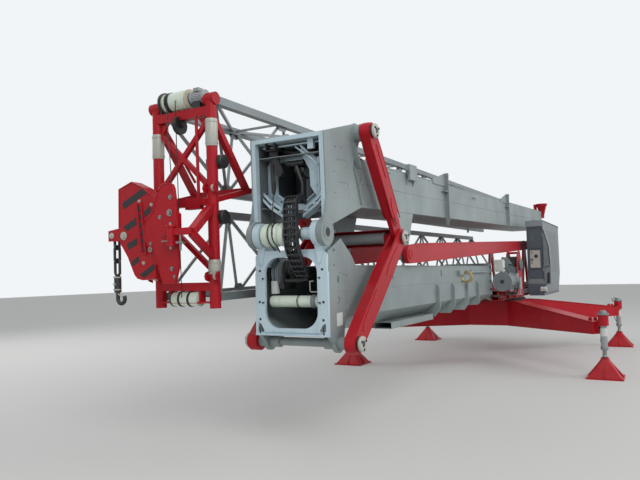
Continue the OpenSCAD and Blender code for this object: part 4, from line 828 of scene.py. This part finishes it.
upper_lines, upper_press, upper_holes, gussets = (bmesh.new() for _ in range(4))
for side in (near, far):
    for z, front, sunk, radius in ((0.515, -0.78, 0.001, 0.005), (0.272, -0.80, 0.002, 0.007),
                                   (0.758, -0.98, 0.002, 0.007)):
        strip(upper_lines, side, [(-12.2, z), (front, z)], mast_half - sunk, radius, upper)
    for line in ([(7.927, 2.848), (7.80, 2.862), (7.74, 2.869), (7.712, 2.852), (7.697, 2.828), (7.715, 2.808),
                  (7.745, 2.789)],
                 [(7.921, 2.636), (7.80, 2.642), (7.753, 2.646), (7.715, 2.636), (7.695, 2.614), (7.72, 2.595),
                  (7.757, 2.575)], [(7.322, 2.80), (7.471, 2.55)]):
        strip(upper_press, side, [local(*p) for p in line], plate_out - 0.001, at=upper)
    prism(upper_press, [(-0.70, 0.655), (-0.685, 0.655), (-0.60, 0.80), (-0.60, 0.86)], "Y",
          *spread(side, plate_out, plate_out + 0.05), upper)
    prism(upper_press, [(-0.755, 0.29), (-0.745, 0.285), (-0.60, 0.66), (-0.61, 0.665)], "Y",
          *spread(side, plate_out - 0.02, plate_out + 0.022), upper)
    spots(upper_holes, side, [(*local(x, z), r) for x, z, r in ((7.837, 2.979, 0.009), (7.953, 2.967, 0.009),
                                                                (7.97, 2.52, 0.007), (7.99, 2.72, 0.007))],
          plate_out, upper)
    for x in (-2.36, -2.122):
        prism(gussets, [(side * y, z) for y, z in ((mast_half, 0.80), (mast_half + 0.058, 0.80), (mast_half, 0.60))],
              "X", x, x + 0.012, upper)
    for x in (-3.705, -7.904):
        bolt_circle(gussets, (x + 0.02, side * (mast_half + 0.035), 0.88), "X", 0.022, 2, 0.009, 1, upper)
        slab(gussets, side, (x + 0.021, mast_half, 0.64), (x + 0.16, mast_half + 0.055, 0.655), upper)
    for x, z in ((-1.35, 0.70), (-5.2, 0.66)):
        tube(gussets, [(x - back, side * (mast_half + out), z)
                       for back, out in ((0, 0.006), (0, 0.03), (0.2, 0.03), (0.2, 0.006))], 0.007, 8, upper)
put("upper_side_lines", upper_lines, galvanised, "upper_mast", 0)
put("upper_press_lines", upper_press, galvanised, "upper_mast", 0)
# The holes are dark discs: painted shade for the dark seen through them.
put("upper_plate_holes", upper_holes, cabinet_dark, "upper_mast", 0)
put("bracket_gussets", gussets, galvanised, "upper_mast", 0.001)

# Upper mouth, zinc-plated parts: a pressed octagonal frame with bolt holes,
# ramp rails bent from strip, a bracket plate, and fittings under the roof,
# all welded or bolted across the open end.
mouth = upper @ Matrix.Translation((-0.215, 0, 0))
octagon, holes, ramps, bracket, roof_gear = (bmesh.new() for _ in range(5))
outer = [(-0.352, 0.39), (-0.352, 0.70), (-0.285, 0.79), (0.285, 0.79), (0.352, 0.70), (0.352, 0.39), (0.14, 0.243),
         (-0.14, 0.243)]
inner = [(-0.245, 0.41), (-0.245, 0.63), (-0.205, 0.735), (0.205, 0.735), (0.235, 0.63), (0.235, 0.41),
         (0.11, 0.318), (-0.11, 0.318)]
middle_z = 0.52
window(octagon, outer, inner, "X", 0, 0.012, mouth)
window(octagon, [(y * 0.99, z) for y, z in inner], [(y * 0.95, middle_z + (z - middle_z) * 0.96) for y, z in inner],
       "X", 0.004, 0.05, mouth)
put("octagon_frame", octagon, plate_zinc, "upper_mast", 0.002)
for side in (near, far):
    for y, z in ((0.30, 0.44), (0.30, 0.53), (0.305, 0.62), (0.27, 0.71), (0.20, 0.335), (0.15, 0.30)):
        disc(holes, (0.011, side * y, z), "X", 0.011, 0.0035, mouth, 16)
    for rise, depth in ((0.0, 0.09), (0.055, 0.075)):
        path = [(side * 0.105, 0.158 + rise), (side * 0.27, 0.268 + rise), (side * 0.345, 0.345 + rise)]
        for (y0, z0), (y1, z1) in zip(path, path[1:]):
            for tall, low, high in ((0.012, 0.03, 0.03 + depth), (0.032, 0.028 + depth, 0.036 + depth)):
                prism(ramps, [(y0, z0), (y1, z1), (y1, z1 + tall), (y0, z0 + tall)], "X", low, high, mouth)
    for y, z in ((0.15, 0.225), (0.235, 0.285)):
        bolt(ramps, (0.128, side * y, z), "X", 0.012, 1, mouth)
    prism(ramps, [(side * 0.09, 0.15), (side * 0.20, 0.21), (side * 0.20, 0.30), (side * 0.09, 0.25)], "X", 0.012,
          0.03, mouth)
# The bolt holes are dark discs: painted shade for the dark seen through them.
put("octagon_holes", holes, cabinet_dark, "upper_mast", 0)
put("ramp_rails", ramps, plate_zinc, "upper_mast", 0.0015)
prism(bracket, [(0.10, 0.86), (0.27, 0.70), (0.31, 0.68), (0.31, 0.56), (0.29, 0.52), (0.29, 0.42), (0.25, 0.34),
                (0.20, 0.40), (0.165, 0.46), (0.16, 0.62), (0.06, 0.81)], "X", 0.05, 0.062, mouth)
block(bracket, (0.05, 0.285, 0.40), (0.12, 0.30, 0.72), mouth)
prism(bracket, [(0.09, 0.845), (0.19, 0.752), (0.20, 0.765), (0.10, 0.858)], "X", 0.055, 0.11, mouth)
for y, z in ((0.13, 0.80), (0.25, 0.60), (0.24, 0.47)):
    bolt(bracket, (0.062, y, z), "X", 0.014, 1, mouth)
put("mouth_bracket", bracket, plate_zinc, "upper_mast", 0.0015)
block(roof_gear, (-0.10, 0.20, 0.80), (-0.06, 0.262, 0.895), upper)
block(roof_gear, (-0.14, -0.33, 0.86), (-0.10, 0.33, 0.875), upper)
tube(roof_gear, [(-0.09, 0.05, 0.84), (-0.09, 0.12, 0.79), (-0.08, 0.24, 0.70), (-0.08, 0.29, 0.64)], 0.008, 10,
     upper)
put("roof_gear", roof_gear, plate_zinc, "upper_mast", 0.0015)

# Upper mouth, dark parts: machinery deep in the box before a dark plate that
# is painted shade for the box's depth, sheet linings and a floor web in painted
# shade, and the oiled latch arm, which hangs from a square tube and catches the
# lower mast when the crane stands.
throat, linings, floor_web, arm = (bmesh.new() for _ in range(4))
# The plate across the box is painted shade: a dark sheet where the box's depth lies in shade.
block(throat, (-0.72, -0.33, 0.28), (-0.71, 0.33, 0.75), upper)
for y, z, r in ((0.06, 0.62, 0.05), (0.09, 0.48, 0.035), (-0.02, 0.4, 0.03)):
    tube(throat, [(-0.71, y, z), (-0.3, y, z)], r, 18, upper)
block(throat, (-0.45, 0.02, 0.34), (-0.28, 0.12, 0.55), upper)
put("throat_gear_and_shade_plate", throat, cabinet_dark, "upper_mast", 0.002)
# The linings and the floor web are in the darker galvanised finish: painted shade.
for side in (near, far):
    prism(linings, [(-0.32, 0.14), (-0.066, 0.14), (-0.066, 0.90), (-0.32, 0.86)], "Y", *spread(side, 0.356, 0.358),
          upper)
put("mouth_liner", linings, zinc_painted_shade, "upper_mast", 0)
prism(floor_web, [(-0.35, 0.17), (0.35, 0.17), (0.35, 0.235), (0.14, 0.235), (-0.14, 0.235), (-0.35, 0.235)], "X",
      -0.50, -0.49, upper)
put("mouth_floor_web", floor_web, zinc_painted_shade, "upper_mast", 0.001)
tube_y, tube_z, tube_half, wall = -0.205, 0.875, 0.052, 0.009
window(arm, *(oblong(tube_y - r, tube_z - r, tube_y + r, tube_z + r) for r in (tube_half, tube_half - wall)), "X",
       -0.40, -0.03, upper)
prism(arm, [(-0.25, 0.83), (-0.165, 0.83), (-0.13, 0.68), (-0.10, 0.61), (-0.12, 0.575), (-0.16, 0.58), (-0.21, 0.70)],
      "X", -0.115, -0.09, upper)
prism(arm, [(-0.27, 0.83), (-0.235, 0.83), (-0.215, 0.46), (-0.23, 0.40), (-0.255, 0.42)], "X", -0.135, -0.115, upper)
disc(arm, (-0.125, -0.132, 0.603), "X", 0.036, 0.06, upper)
for path, radius, sides in (
        ([(-0.2, -0.15, 0.83), (-0.2, -0.02, 0.80), (-0.2, 0.10, 0.82), (-0.2, 0.24, 0.76)], 0.021, 14),
        ([(-0.16, -0.10, 0.70), (-0.16, 0.0, 0.69), (-0.16, 0.10, 0.70)], 0.026, 16),
        ([(-0.13, 0.03, 0.66), (-0.12, 0.055, 0.60), (-0.13, 0.09, 0.50), (-0.14, 0.085, 0.36)], 0.018, 12)):
    tube(arm, path, radius, sides, upper)
for y, z, r in ((0.02, 0.63, 0.03), (0.075, 0.62, 0.028), (0.05, 0.57, 0.022)):
    turned(arm, [(0.008, 0), (r, 0), (r, 0.02), (r * 0.6, 0.026), (0.008, 0.026)], (-0.17, y, z), "X", upper, 24)
block(arm, (-0.19, 0.055, 0.33), (-0.15, 0.10, 0.55), upper)
put("latch_arm", arm, dark_steel, "upper_mast", 0.002)

# Mast head: the red welded head that carries the jib's cross shaft. Cream
# collars hold the shaft, and a rope funnel of spun sheet stands on four ribs.
dress(red_paint, "mast_head")
luff = pin["jib_luff"]
shaft_collars, funnel = bmesh.new(), bmesh.new()
for y in (-0.55, -0.655, -0.79, -1.345, -1.495):
    turned(shaft_collars, [(0.051, -0.012), (0.080, -0.010), (0.080, 0.010), (0.051, 0.012)], (luff.x, y, luff.z), "Y")
put("shaft_collars", shaft_collars, cream_steel, "upper_mast", 0)
funnel_at = Matrix.Translation((luff.x - 0.03, 0.40, luff.z))
turned(funnel, [(0.002, -0.05), (0.060, -0.05), (0.062, 0.05), (0.066, 0.14), (0.10, 0.22), (0.145, 0.31),
                (0.150, 0.335), (0.142, 0.335), (0.09, 0.22), (0.045, 0.15), (0.002, 0.14)], CENTRE, "Z", funnel_at, 28)
for a in angles(4, quarter):
    tube(funnel, [(r * math.cos(a), r * math.sin(a), z) for r, z in ((0.062, 0.02), (0.147, 0.31))], 0.010, 6,
         funnel_at)
put("head_funnel", funnel, red_paint, "upper_mast", 0.001)

# Link pins: turned steel pins at the links' three joints. Each end has a cream
# cap pressed on, with a dark bore, three bolts and a groove.
dress(pin_steel, "cross_pins")
link_out, collar = 0.596, 0.045
top_pin = upper @ Vector((-0.6949, 0, 1.0174))
mid_pin, low_pin = pin["upper_link_swing"], pin["lower_link_swing"]
for name, spot, body in (("top", top_pin, "upper_links"), ("middle", mid_pin, "lower_links"),
                         ("low", low_pin, "lower_mast")):
    caps, bores = bmesh.new(), bmesh.new()
    for side in (near, far):
        end = (spot.x, side * (link_out + collar), spot.z)
        turned(caps, [(r, side * y) for r, y in ((0.030, 0), (0.030, 0.006), (0.050, 0.009), (0.070, 0.004),
                                                 (0.0745, -0.004), (0.0745, -0.018), (0.0685, -0.020), (0.0685, 0))],
               end, "Y", sides=56)
        disc(bores, end, "Y", 0.031, side * 0.0035)
        bolt_circle(bores, (end[0], end[1] + side * 0.0075, end[2]), "Y", 0.051, 3, 0.009, side, start=0.5)
        ring(bores, (end[0], end[1] - side * 0.040, end[2]), "Y", 0.067, 0.0705, side * 0.012, sides=48)
    put("collar_caps_" + name, caps, cream_steel, body, 0.001)
    put("collar_bores_" + name, bores, dark_steel, body, 0.0006)

# Link arms: welded from steel plate in red enamel, with doubler plates on the
# outer faces and flange edges that stand a little proud. A grey sleeve covers
# the cross tie between the middle pins.
dress(red_paint, "lower_links", "upper_links", "long_arms")
for name, start, stop, half in (("upper", top_pin, mid_pin, 0.075), ("lower", low_pin, mid_pin, 0.078)):
    doublers = bmesh.new()
    along = Vector((stop.x - start.x, stop.z - start.z))
    length = along.length
    along.normalize()
    across = Vector((-along.y, along.x))

    def on_arm(*places):
        """Points along and across this arm, in world X and Z."""
        return [(start.x + p.x, start.z + p.y) for p in (along * s + across * t for s, t in places)]

    for side in (near, far):
        levels = spread(side, link_out - 0.001, link_out + 0.006)
        prism(doublers, on_arm((0.15, -0.03), (0.22, -half + 0.012), (length * 0.42, -half + 0.004),
                               (length * 0.42, -0.005), (0.15, 0.0)), "Y", *levels)
        prism(doublers, on_arm((length * 0.60, 0.0), (length * 0.66, -half * 0.5), (length - 0.18, -0.03),
                               (length - 0.18, 0.05), (length * 0.66, half * 0.7)), "Y", *levels)
        for t in (-half - 0.012, half + 0.018):
            strip(doublers, side, on_arm((0.16, t), (length * 0.36, t * 1.06), (length * 0.68, t * 1.06),
                                         (length - 0.2, t)), link_out - 0.002, 0.006)
    put("link_doublers_" + name, doublers, red_paint, name + "_links", 0.002)
tie = bmesh.new()
turned(tie, [(0.0605, -0.40), (0.068, -0.395), (0.068, -0.37), (0.064, -0.36), (0.064, 0.36), (0.068, 0.37),
             (0.068, 0.395), (0.0605, 0.40)], (mid_pin.x, 0, mid_pin.z), "Y", sides=48)
put("tie_sleeve", tie, jack_grey, "lower_links", 0)

# Long arms: red box sections from the platform's posts to the upper mast, with
# pressed flange lines and a welded washer round each pin.
front_pin = Vector((6.19, 0, 1.97))
run = Vector((front_pin.x - rear_pin.x, front_pin.z - rear_pin.z))
arm_length = run.length
run.normalize()
lift = Vector((-run.y, run.x))
long_out = 0.48
arm_lines = bmesh.new()
for side in (near, far):
    for t0, t1 in ((-0.088, -0.095), (0.085, 0.115)):
        points = [Vector((rear_pin.x, rear_pin.z)) + run * s + lift * t
                  for s, t in ((0.15, t0), (arm_length - 0.46, t1), (arm_length - 0.22, min(t1, 0.09)))]
        strip(arm_lines, side, points, long_out - 0.001, 0.0055)
    ring(arm_lines, (front_pin.x, side * long_out, front_pin.z), "Y", 0.036, 0.062, side * 0.008, sides=48)
    ring(arm_lines, (rear_pin.x, side * long_out, rear_pin.z), "Y", 0.045, 0.075, side * 0.005, sides=48)
put("long_arm_lines", arm_lines, red_paint, "long_arms", 0.001)

# Jib: two triangular lattice sections of welded galvanised tube, packed apex
# to apex beside the mast. Cleats of plate stand at the lattice's nodes.
lattice_zinc = metal_finish("lattice_zinc", (0.27, 0.30, 0.31), 0.45, 0.35, drift=0.5, speckle=0.3,
                            dust=0.2, runs=0.1)
dress(lattice_zinc, "jib_inner_section", "jib_outer_section")
drum_rise = 0.036
jib_turn = Matrix.Rotation(math.radians(1.0), 4, "Y")
drum_pin = pin["rope_drum_spin"]
jib = Matrix.Translation(Vector((drum_pin.x, 0, drum_pin.z)) - jib_turn @ Vector((0, 0, drum_rise))) @ jib_turn
near_y, far_y, apex_y, pack_low = -0.72, -1.42, -1.07, -1.94
cleats = bmesh.new()
for length, bays, deck, apex in ((12.555, 10, 0.0, -0.85), (11.4, 9, pack_low, -1.09)):
    bay, way = length / bays, 1 if apex > deck else -1
    for k in range(1, bays):
        x = -0.045 - k * bay
        for y in (near_y, far_y):
            prism(cleats, [(x - 0.11, deck - 0.03), (x + 0.11, deck - 0.03), (x + 0.06, deck + 0.09 * way),
                           (x - 0.06, deck + 0.09 * way)], "Y", y - 0.004, y + 0.004, jib)
    for k in range(bays):
        x = -0.045 - (k + 0.5) * bay
        prism(cleats, [(x - 0.12, apex + 0.03), (x + 0.12, apex + 0.03), (x + 0.05, apex - 0.10 * way),
                       (x - 0.05, apex - 0.10 * way)], "Y", apex_y - 0.004, apex_y + 0.004, jib)
put("lattice_cleats", cleats, lattice_zinc, "jib", 0)

# End frame of the jib: red welded tube with cream bands on its posts, braces
# and gussets, small rollers between lugs, a rope wheel at the top and two
# rubber guide rollers towards the mast.
dress(red_paint, "jib_end_frame")
bands, wheel, guides, post_rollers, lugs, braces = (bmesh.new() for _ in range(6))
post_r = 0.055
for y, low, high in ((near_y, -0.47, -0.20), (far_y, -0.52, -0.27), (near_y, -1.72, -1.58), (far_y, -1.74, -1.62)):
    turned(bands, [(post_r - 0.003, low), (post_r + 0.004, low), (post_r + 0.006, low + 0.006),
                   (post_r + 0.006, high - 0.006), (post_r + 0.004, high), (post_r - 0.003, high)], (0, y, 0), "Z",
           jib)
    for z in (low + 0.03, high - 0.03):
        turned(bands, [(post_r, -0.006), (post_r + 0.010, -0.004), (post_r + 0.010, 0.004), (post_r, 0.006)],
               (0, y, z), "Z", jib)
put("post_bands", bands, cream_steel, "jib", 0)
turned(wheel, [(0.02, -0.022), (0.075, -0.018), (0.09, -0.022), (0.09, -0.016), (0.078, 0), (0.09, 0.016),
               (0.09, 0.022), (0.075, 0.018), (0.02, 0.022)], (0.02, -1.107, -0.215), "Y", jib, 48)
tube(wheel, [(0.02, -1.16, -0.215), (0.02, -1.05, -0.215)], 0.02, 16, jib)
for y in (-1.15, -1.07):
    block(wheel, (0.0, y, -0.24), (0.045, y + 0.01, -0.13), jib)
put("rope_wheel", wheel, black_rubber, "jib", 0.001)
guide_x = -0.06
for z in (-0.62, -1.165):
    turned(guides, [(0.012, -0.745), (0.062, -0.745), (0.070, -0.735), (0.070, -0.62), (0.062, -0.61),
                    (0.012, -0.61)], (guide_x, 0, z), "Y", jib)
    tube(guides, [(guide_x, -0.80, z), (guide_x, -0.606, z)], 0.014, 12, jib)
    block(guides, (guide_x - 0.03, -0.80, z - 0.03), (0.0, -0.76, z + 0.03), jib)
put("guide_rollers", guides, black_rubber, "jib", 0.001)
for z in (-0.885, -1.74):
    for y, inwards, gaps in ((near_y, 0.035, (-0.045, 0.085)), (far_y, -0.035, (-0.085, 0.045))):
        turned(post_rollers, [(0.010, 0), (0.034, 0), (0.036, 0.006), (0.036, 0.04), (0.034, 0.046), (0.010, 0.046)],
               (0.045, y + inwards, z), "Y", jib)
        for gap in gaps:
            prism(lugs, [(0.03, z - 0.055), (0.09, z - 0.035), (0.10, z), (0.09, z + 0.035), (0.03, z + 0.055)], "Y",
                  y + gap - 0.005, y + gap + 0.005, jib)
        tube(lugs, [(0.045, y - 0.09, z), (0.045, y + 0.09, z)], 0.011, 12, jib)
put("post_rollers", post_rollers, cream_steel, "jib", 0.001)
put("post_lugs", lugs, red_paint, "jib", 0.0015)
tube(braces, [(0.03, -0.885, -0.13), (0.03, -0.872, -1.02)], 0.016, 14, jib)
tube(braces, [(-0.03, -1.39, -0.14), (-0.03, -0.965, -0.80)], 0.014, 12, jib)
for y in (-1.28, -0.95):
    block(braces, (-0.03, y - 0.09, -1.075), (0.045, y + 0.09, -0.965), jib)
for z, drop in ((-0.12, 0.058), (-1.01, 0.05)):
    for y, way in ((-1.33, 1), (-0.81, -1)):
        prism(braces, [(y - 0.03 * way, z - drop), (y + 0.06 * way, z - drop), (y - 0.03 * way, z - drop - 0.13)],
              "X", -0.012, 0.012, jib)
block(braces, (-0.045, -1.40, -2.00), (0.065, -0.74, -1.985), jib)
put("frame_braces", braces, red_paint, "jib", 0.0015)

# Rope drum and lower roller: the drum is beige nylon with an ivory sleeve and
# dark windings, driven by an oiled gear and a grey ribbed motor. Two taut
# wire ropes leave it, and the lower roller has rubber bands.
beige = metal_finish("beige_nylon", (0.55, 0.50, 0.38), 0.5, drift=0.3)
dress(beige, "rope_drum")
dress(dark_steel, "drum_gearbox")
drum_at = jib @ Matrix.Translation((0, 0, drum_rise))
hoist, sleeve, band, drum_motor, roller_bands = (bmesh.new() for _ in range(5))
tube(hoist, [(0.104, -1.205, 0.02), (0.20, -1.09, -0.42), (0.31, -0.965, -0.86)], 0.0045, 8, jib)
tube(hoist, [(0.104, -1.085, 0.02), (0.10, -1.075, -0.9), (0.085, apex_y, pack_low)], 0.0045, 8, jib)
put("hoist_ropes", hoist, wire_rope, "jib", 0)
turned(sleeve, [(0.0835, -1.285), (0.093, -1.283), (0.098, -1.27), (0.098, -1.05), (0.092, -1.03), (0.092, -1.0),
                (0.0835, -0.99)], CENTRE, "Y", drum_at, 48)
for y in (-1.25, -1.06, -1.02):
    turned(sleeve, [(0.090, -0.007), (0.101, -0.005), (0.101, 0.005), (0.090, 0.007)], (0, y, 0), "Y", drum_at, 48)
put("drum_sleeve", sleeve, ivory, "rope_drum", 0)
turned(band, [(0.100, -1.318), (0.112, -1.316), (0.113, -1.288), (0.100, -1.286)], CENTRE, "Y", drum_at, 48)
for k in range(4):
    turned(band, [(0.0975, -0.006), (0.104, -0.004), (0.104, 0.004), (0.0975, 0.006)], (0, -1.235 + k * 0.012, 0),
           "Y", drum_at, 48)
put("drum_band", band, black_rubber, "rope_drum", 0)
turned(drum_motor, [(0.001, -0.955), (0.055, -0.955), (0.066, -0.945), (0.066, -0.93), (0.061, -0.925),
                    (0.061, -0.80), (0.068, -0.795), (0.068, -0.775), (0.05, -0.765), (0.001, -0.765)], CENTRE, "Y",
       drum_at, 48)
for a in angles(18):
    tube(drum_motor, [(0.061 * math.cos(a), y, 0.061 * math.sin(a)) for y in (-0.925, -0.80)], 0.004, 6, drum_at)
block(drum_motor, (-0.02, -0.90, 0.09), (0.05, -0.83, 0.125), jib)
put("drum_motor_cap", drum_motor, jack_grey, "jib", 0.001)
roller_z = -1.96
for y in (-1.13, -1.01):
    turned(roller_bands, [(0.0735, -0.014), (0.079, -0.012), (0.080, 0), (0.079, 0.012), (0.0735, 0.014)],
           (0, y, roller_z), "Y", jib)
turned(roller_bands, [(0.072, -1.242), (0.078, -1.242), (0.078, -1.226), (0.072, -1.226)], (0, 0, roller_z), "Y", jib)
put("roller_bands", roller_bands, black_rubber, "jib_roller", 0)

# Hook block: a red cast plate with a rolled edge and steel bolts, before a
# housing of folded sheet. The housing has painted stripes, a rolled rim, a
# strip whose slots are black blocks of painted shade, a strap and two large pin heads.
dress(red_paint, "hook_block", "hook_housing")
house_x, plate_x = 0.33, 0.356
block_at = jib @ Matrix.Translation((0, -1.01, -1.33))
rim, fixings, stripes, housing_rim, slots, heads = (bmesh.new() for _ in range(6))
edge_line = ((-0.04, -0.458), (-0.062, -0.404), (-0.144, -0.165), (-0.217, -0.127), (-0.266, -0.034),
             (-0.286, 0.066), (-0.258, 0.134), (-0.161, 0.209), (-0.116, 0.340), (-0.069, 0.440), (-0.047, 0.470),
             (-0.014, 0.481), (0.056, 0.480), (0.091, 0.465), (0.108, 0.430), (0.122, 0.333), (0.132, 0.181),
             (0.149, -0.131), (0.143, -0.321), (0.099, -0.460), (-0.04, -0.458))
tube(rim, [(plate_x, y, z) for y, z in edge_line], 0.006, 8, block_at)
put("block_rim", rim, red_paint, "jib", 0)
for y, z, r in ((0.069, 0.349, 0.016), (0.055, 0.203, 0.020), (-0.066, 0.168, 0.014), (0.072, -0.326, 0.015),
                (-0.19, -0.08, 0.012), (0.10, -0.40, 0.011)):
    bolt(fixings, (plate_x, y, z), "X", r, 1, block_at)
ring(fixings, (plate_x, -0.193, -0.135), "X", 0.010, 0.026, 0.012, block_at, 28)
ring(fixings, (plate_x, 0.055, 0.203), "X", 0.024, 0.034, 0.006, block_at, 28)
put("block_bolts", fixings, pin_steel, "jib", 0.0008)
for outline in ([(-0.59, 0.345), (-0.31, 0.47), (-0.235, 0.425), (-0.575, 0.28)],
                [(-0.58, 0.105), (-0.41, 0.19), (-0.40, 0.12), (-0.53, 0.06)],
                [(-0.54, -0.065), (-0.40, -0.015), (-0.395, -0.075), (-0.515, -0.125)],
                [(-0.49, -0.25), (-0.385, -0.19), (-0.37, -0.24), (-0.46, -0.29)],
                [(-0.375, -0.375), (-0.18, -0.27), (-0.172, -0.325), (-0.31, -0.405)],
                [(-0.305, 0.235), (-0.215, 0.295), (-0.205, 0.235), (-0.285, 0.18)]):
    prism(stripes, outline, "X", house_x - 0.002, house_x + 0.0025, block_at)
put("warning_stripes", stripes, black_rubber, "jib", 0.0005)
for line in (((-0.641, 0.10), (-0.634, 0.485), (-0.461, 0.542), (-0.311, 0.472), (-0.22, 0.40)),
             ((-0.63, -0.04), (-0.521, -0.193), (-0.433, -0.372), (-0.398, -0.406), (-0.331, -0.422),
              (-0.17, -0.408))):
    tube(housing_rim, [(house_x, y, z) for y, z in line], 0.007, 8, block_at)
window(housing_rim, [(-0.392, 0.33), (-0.325, 0.33), (-0.265, -0.18), (-0.335, -0.18)],
       [(-0.380, 0.315), (-0.340, 0.315), (-0.285, -0.165), (-0.325, -0.165)], "X", house_x - 0.002, house_x + 0.012,
       block_at)
prism(housing_rim, [(-0.795, 0.06), (-0.77, 0.085), (-0.66, 0.36), (-0.62, 0.46), (-0.63, 0.38), (-0.73, 0.07)], "X",
      0.205, 0.225, block_at)
put("housing_rim", housing_rim, red_paint, "jib", 0.001)
for k in range(6):
    y, z = -0.360 + k * 0.0105, 0.27 - k * 0.078
    block(slots, (house_x - 0.002, y - 0.012, z - 0.026), (house_x + 0.006, y + 0.016, z + 0.026), block_at)
# The slots are black blocks: painted shade for the dark seen through them.
put("housing_slots", slots, black_rubber, "jib", 0.0005)
for y, z, r in ((-0.577, 0.015, 0.042), (-0.744, 0.025, 0.030)):
    turned(heads, [(0.0005, 0), (r, 0), (r, 0.008), (r - 0.006, 0.012), (r * 0.6, 0.012), (r * 0.6, 0.022),
                   (0.0005, 0.022)], (house_x, y, z), "X", block_at, 32)
for y, z in ((-0.358, 0.345), (-0.316, -0.261), (-0.20, 0.30)):
    bolt(heads, (house_x, y, z), "X", 0.012, 1, block_at)
put("shackle_heads", heads, cream_steel, "jib", 0.001)

# Holder: a red sleeve before the hook block's plate on a forked bracket from
# the end frame, with two steel pins and their locking plates.
sleeve_x, sleeve_y = 0.412, -0.896
holder, holder_pins = bmesh.new(), bmesh.new()
for z in (-1.271, -1.447):
    turned(holder, [(0.030, 0), (0.044, 0), (0.046, 0.005), (0.046, 0.013), (0.044, 0.018), (0.030, 0.018)],
           (sleeve_x, sleeve_y, z), "Z", jib, 32)
tube(holder, [(sleeve_x, sleeve_y, z) for z in (-1.44, -1.25)], 0.034, 28, jib)
prism(holder, [(0.03, -1.01), (0.18, -1.12), (0.33, -1.26), (0.33, -1.38), (0.18, -1.47), (0.03, -1.56), (0.03, -1.52),
               (0.16, -1.43), (0.28, -1.35), (0.28, -1.29), (0.16, -1.16), (0.03, -1.06)], "Y", near_y - 0.012,
      near_y, jib)
put("holder_sleeve", holder, red_paint, "jib", 0.002)
block(holder_pins, (0.36, -1.00, -1.402), (0.43, -0.91, -1.392), jib)
tube(holder_pins, [(sleeve_x, sleeve_y, z) for z in (-1.475, -1.225)], 0.014, 16, jib)
tube(holder_pins, [(0.40, -0.79, z) for z in (-1.34, -1.49)], 0.011, 14, jib)
block(holder_pins, (0.37, -0.83, -1.425), (0.42, -0.75, -1.405), jib)
put("holder_pins", holder_pins, pin_steel, "jib", 0.001)

# Load hook: a forged, oiled steel hook on a chain of three links. A bent latch
# closes its mouth, and two collars and a cross pin hold the swivel head.
dress(dark_steel, "load_hook")
latch = bmesh.new()
hook = Matrix.Translation(pin["hook_swing"])
tube(latch, [(0, 0.012, -0.585), (0, 0.085, -0.622)], 0.007, 8, hook)
for z in (-0.425, -0.55):
    ring(latch, (0, 0, z), "Z", 0.030, 0.0395, 0.012, hook, 28)
tube(latch, [(-0.045, 0, -0.49), (0.045, 0, -0.49)], 0.012, 14, hook)
put("hook_latch", latch, cream_steel, "load_hook", 0)
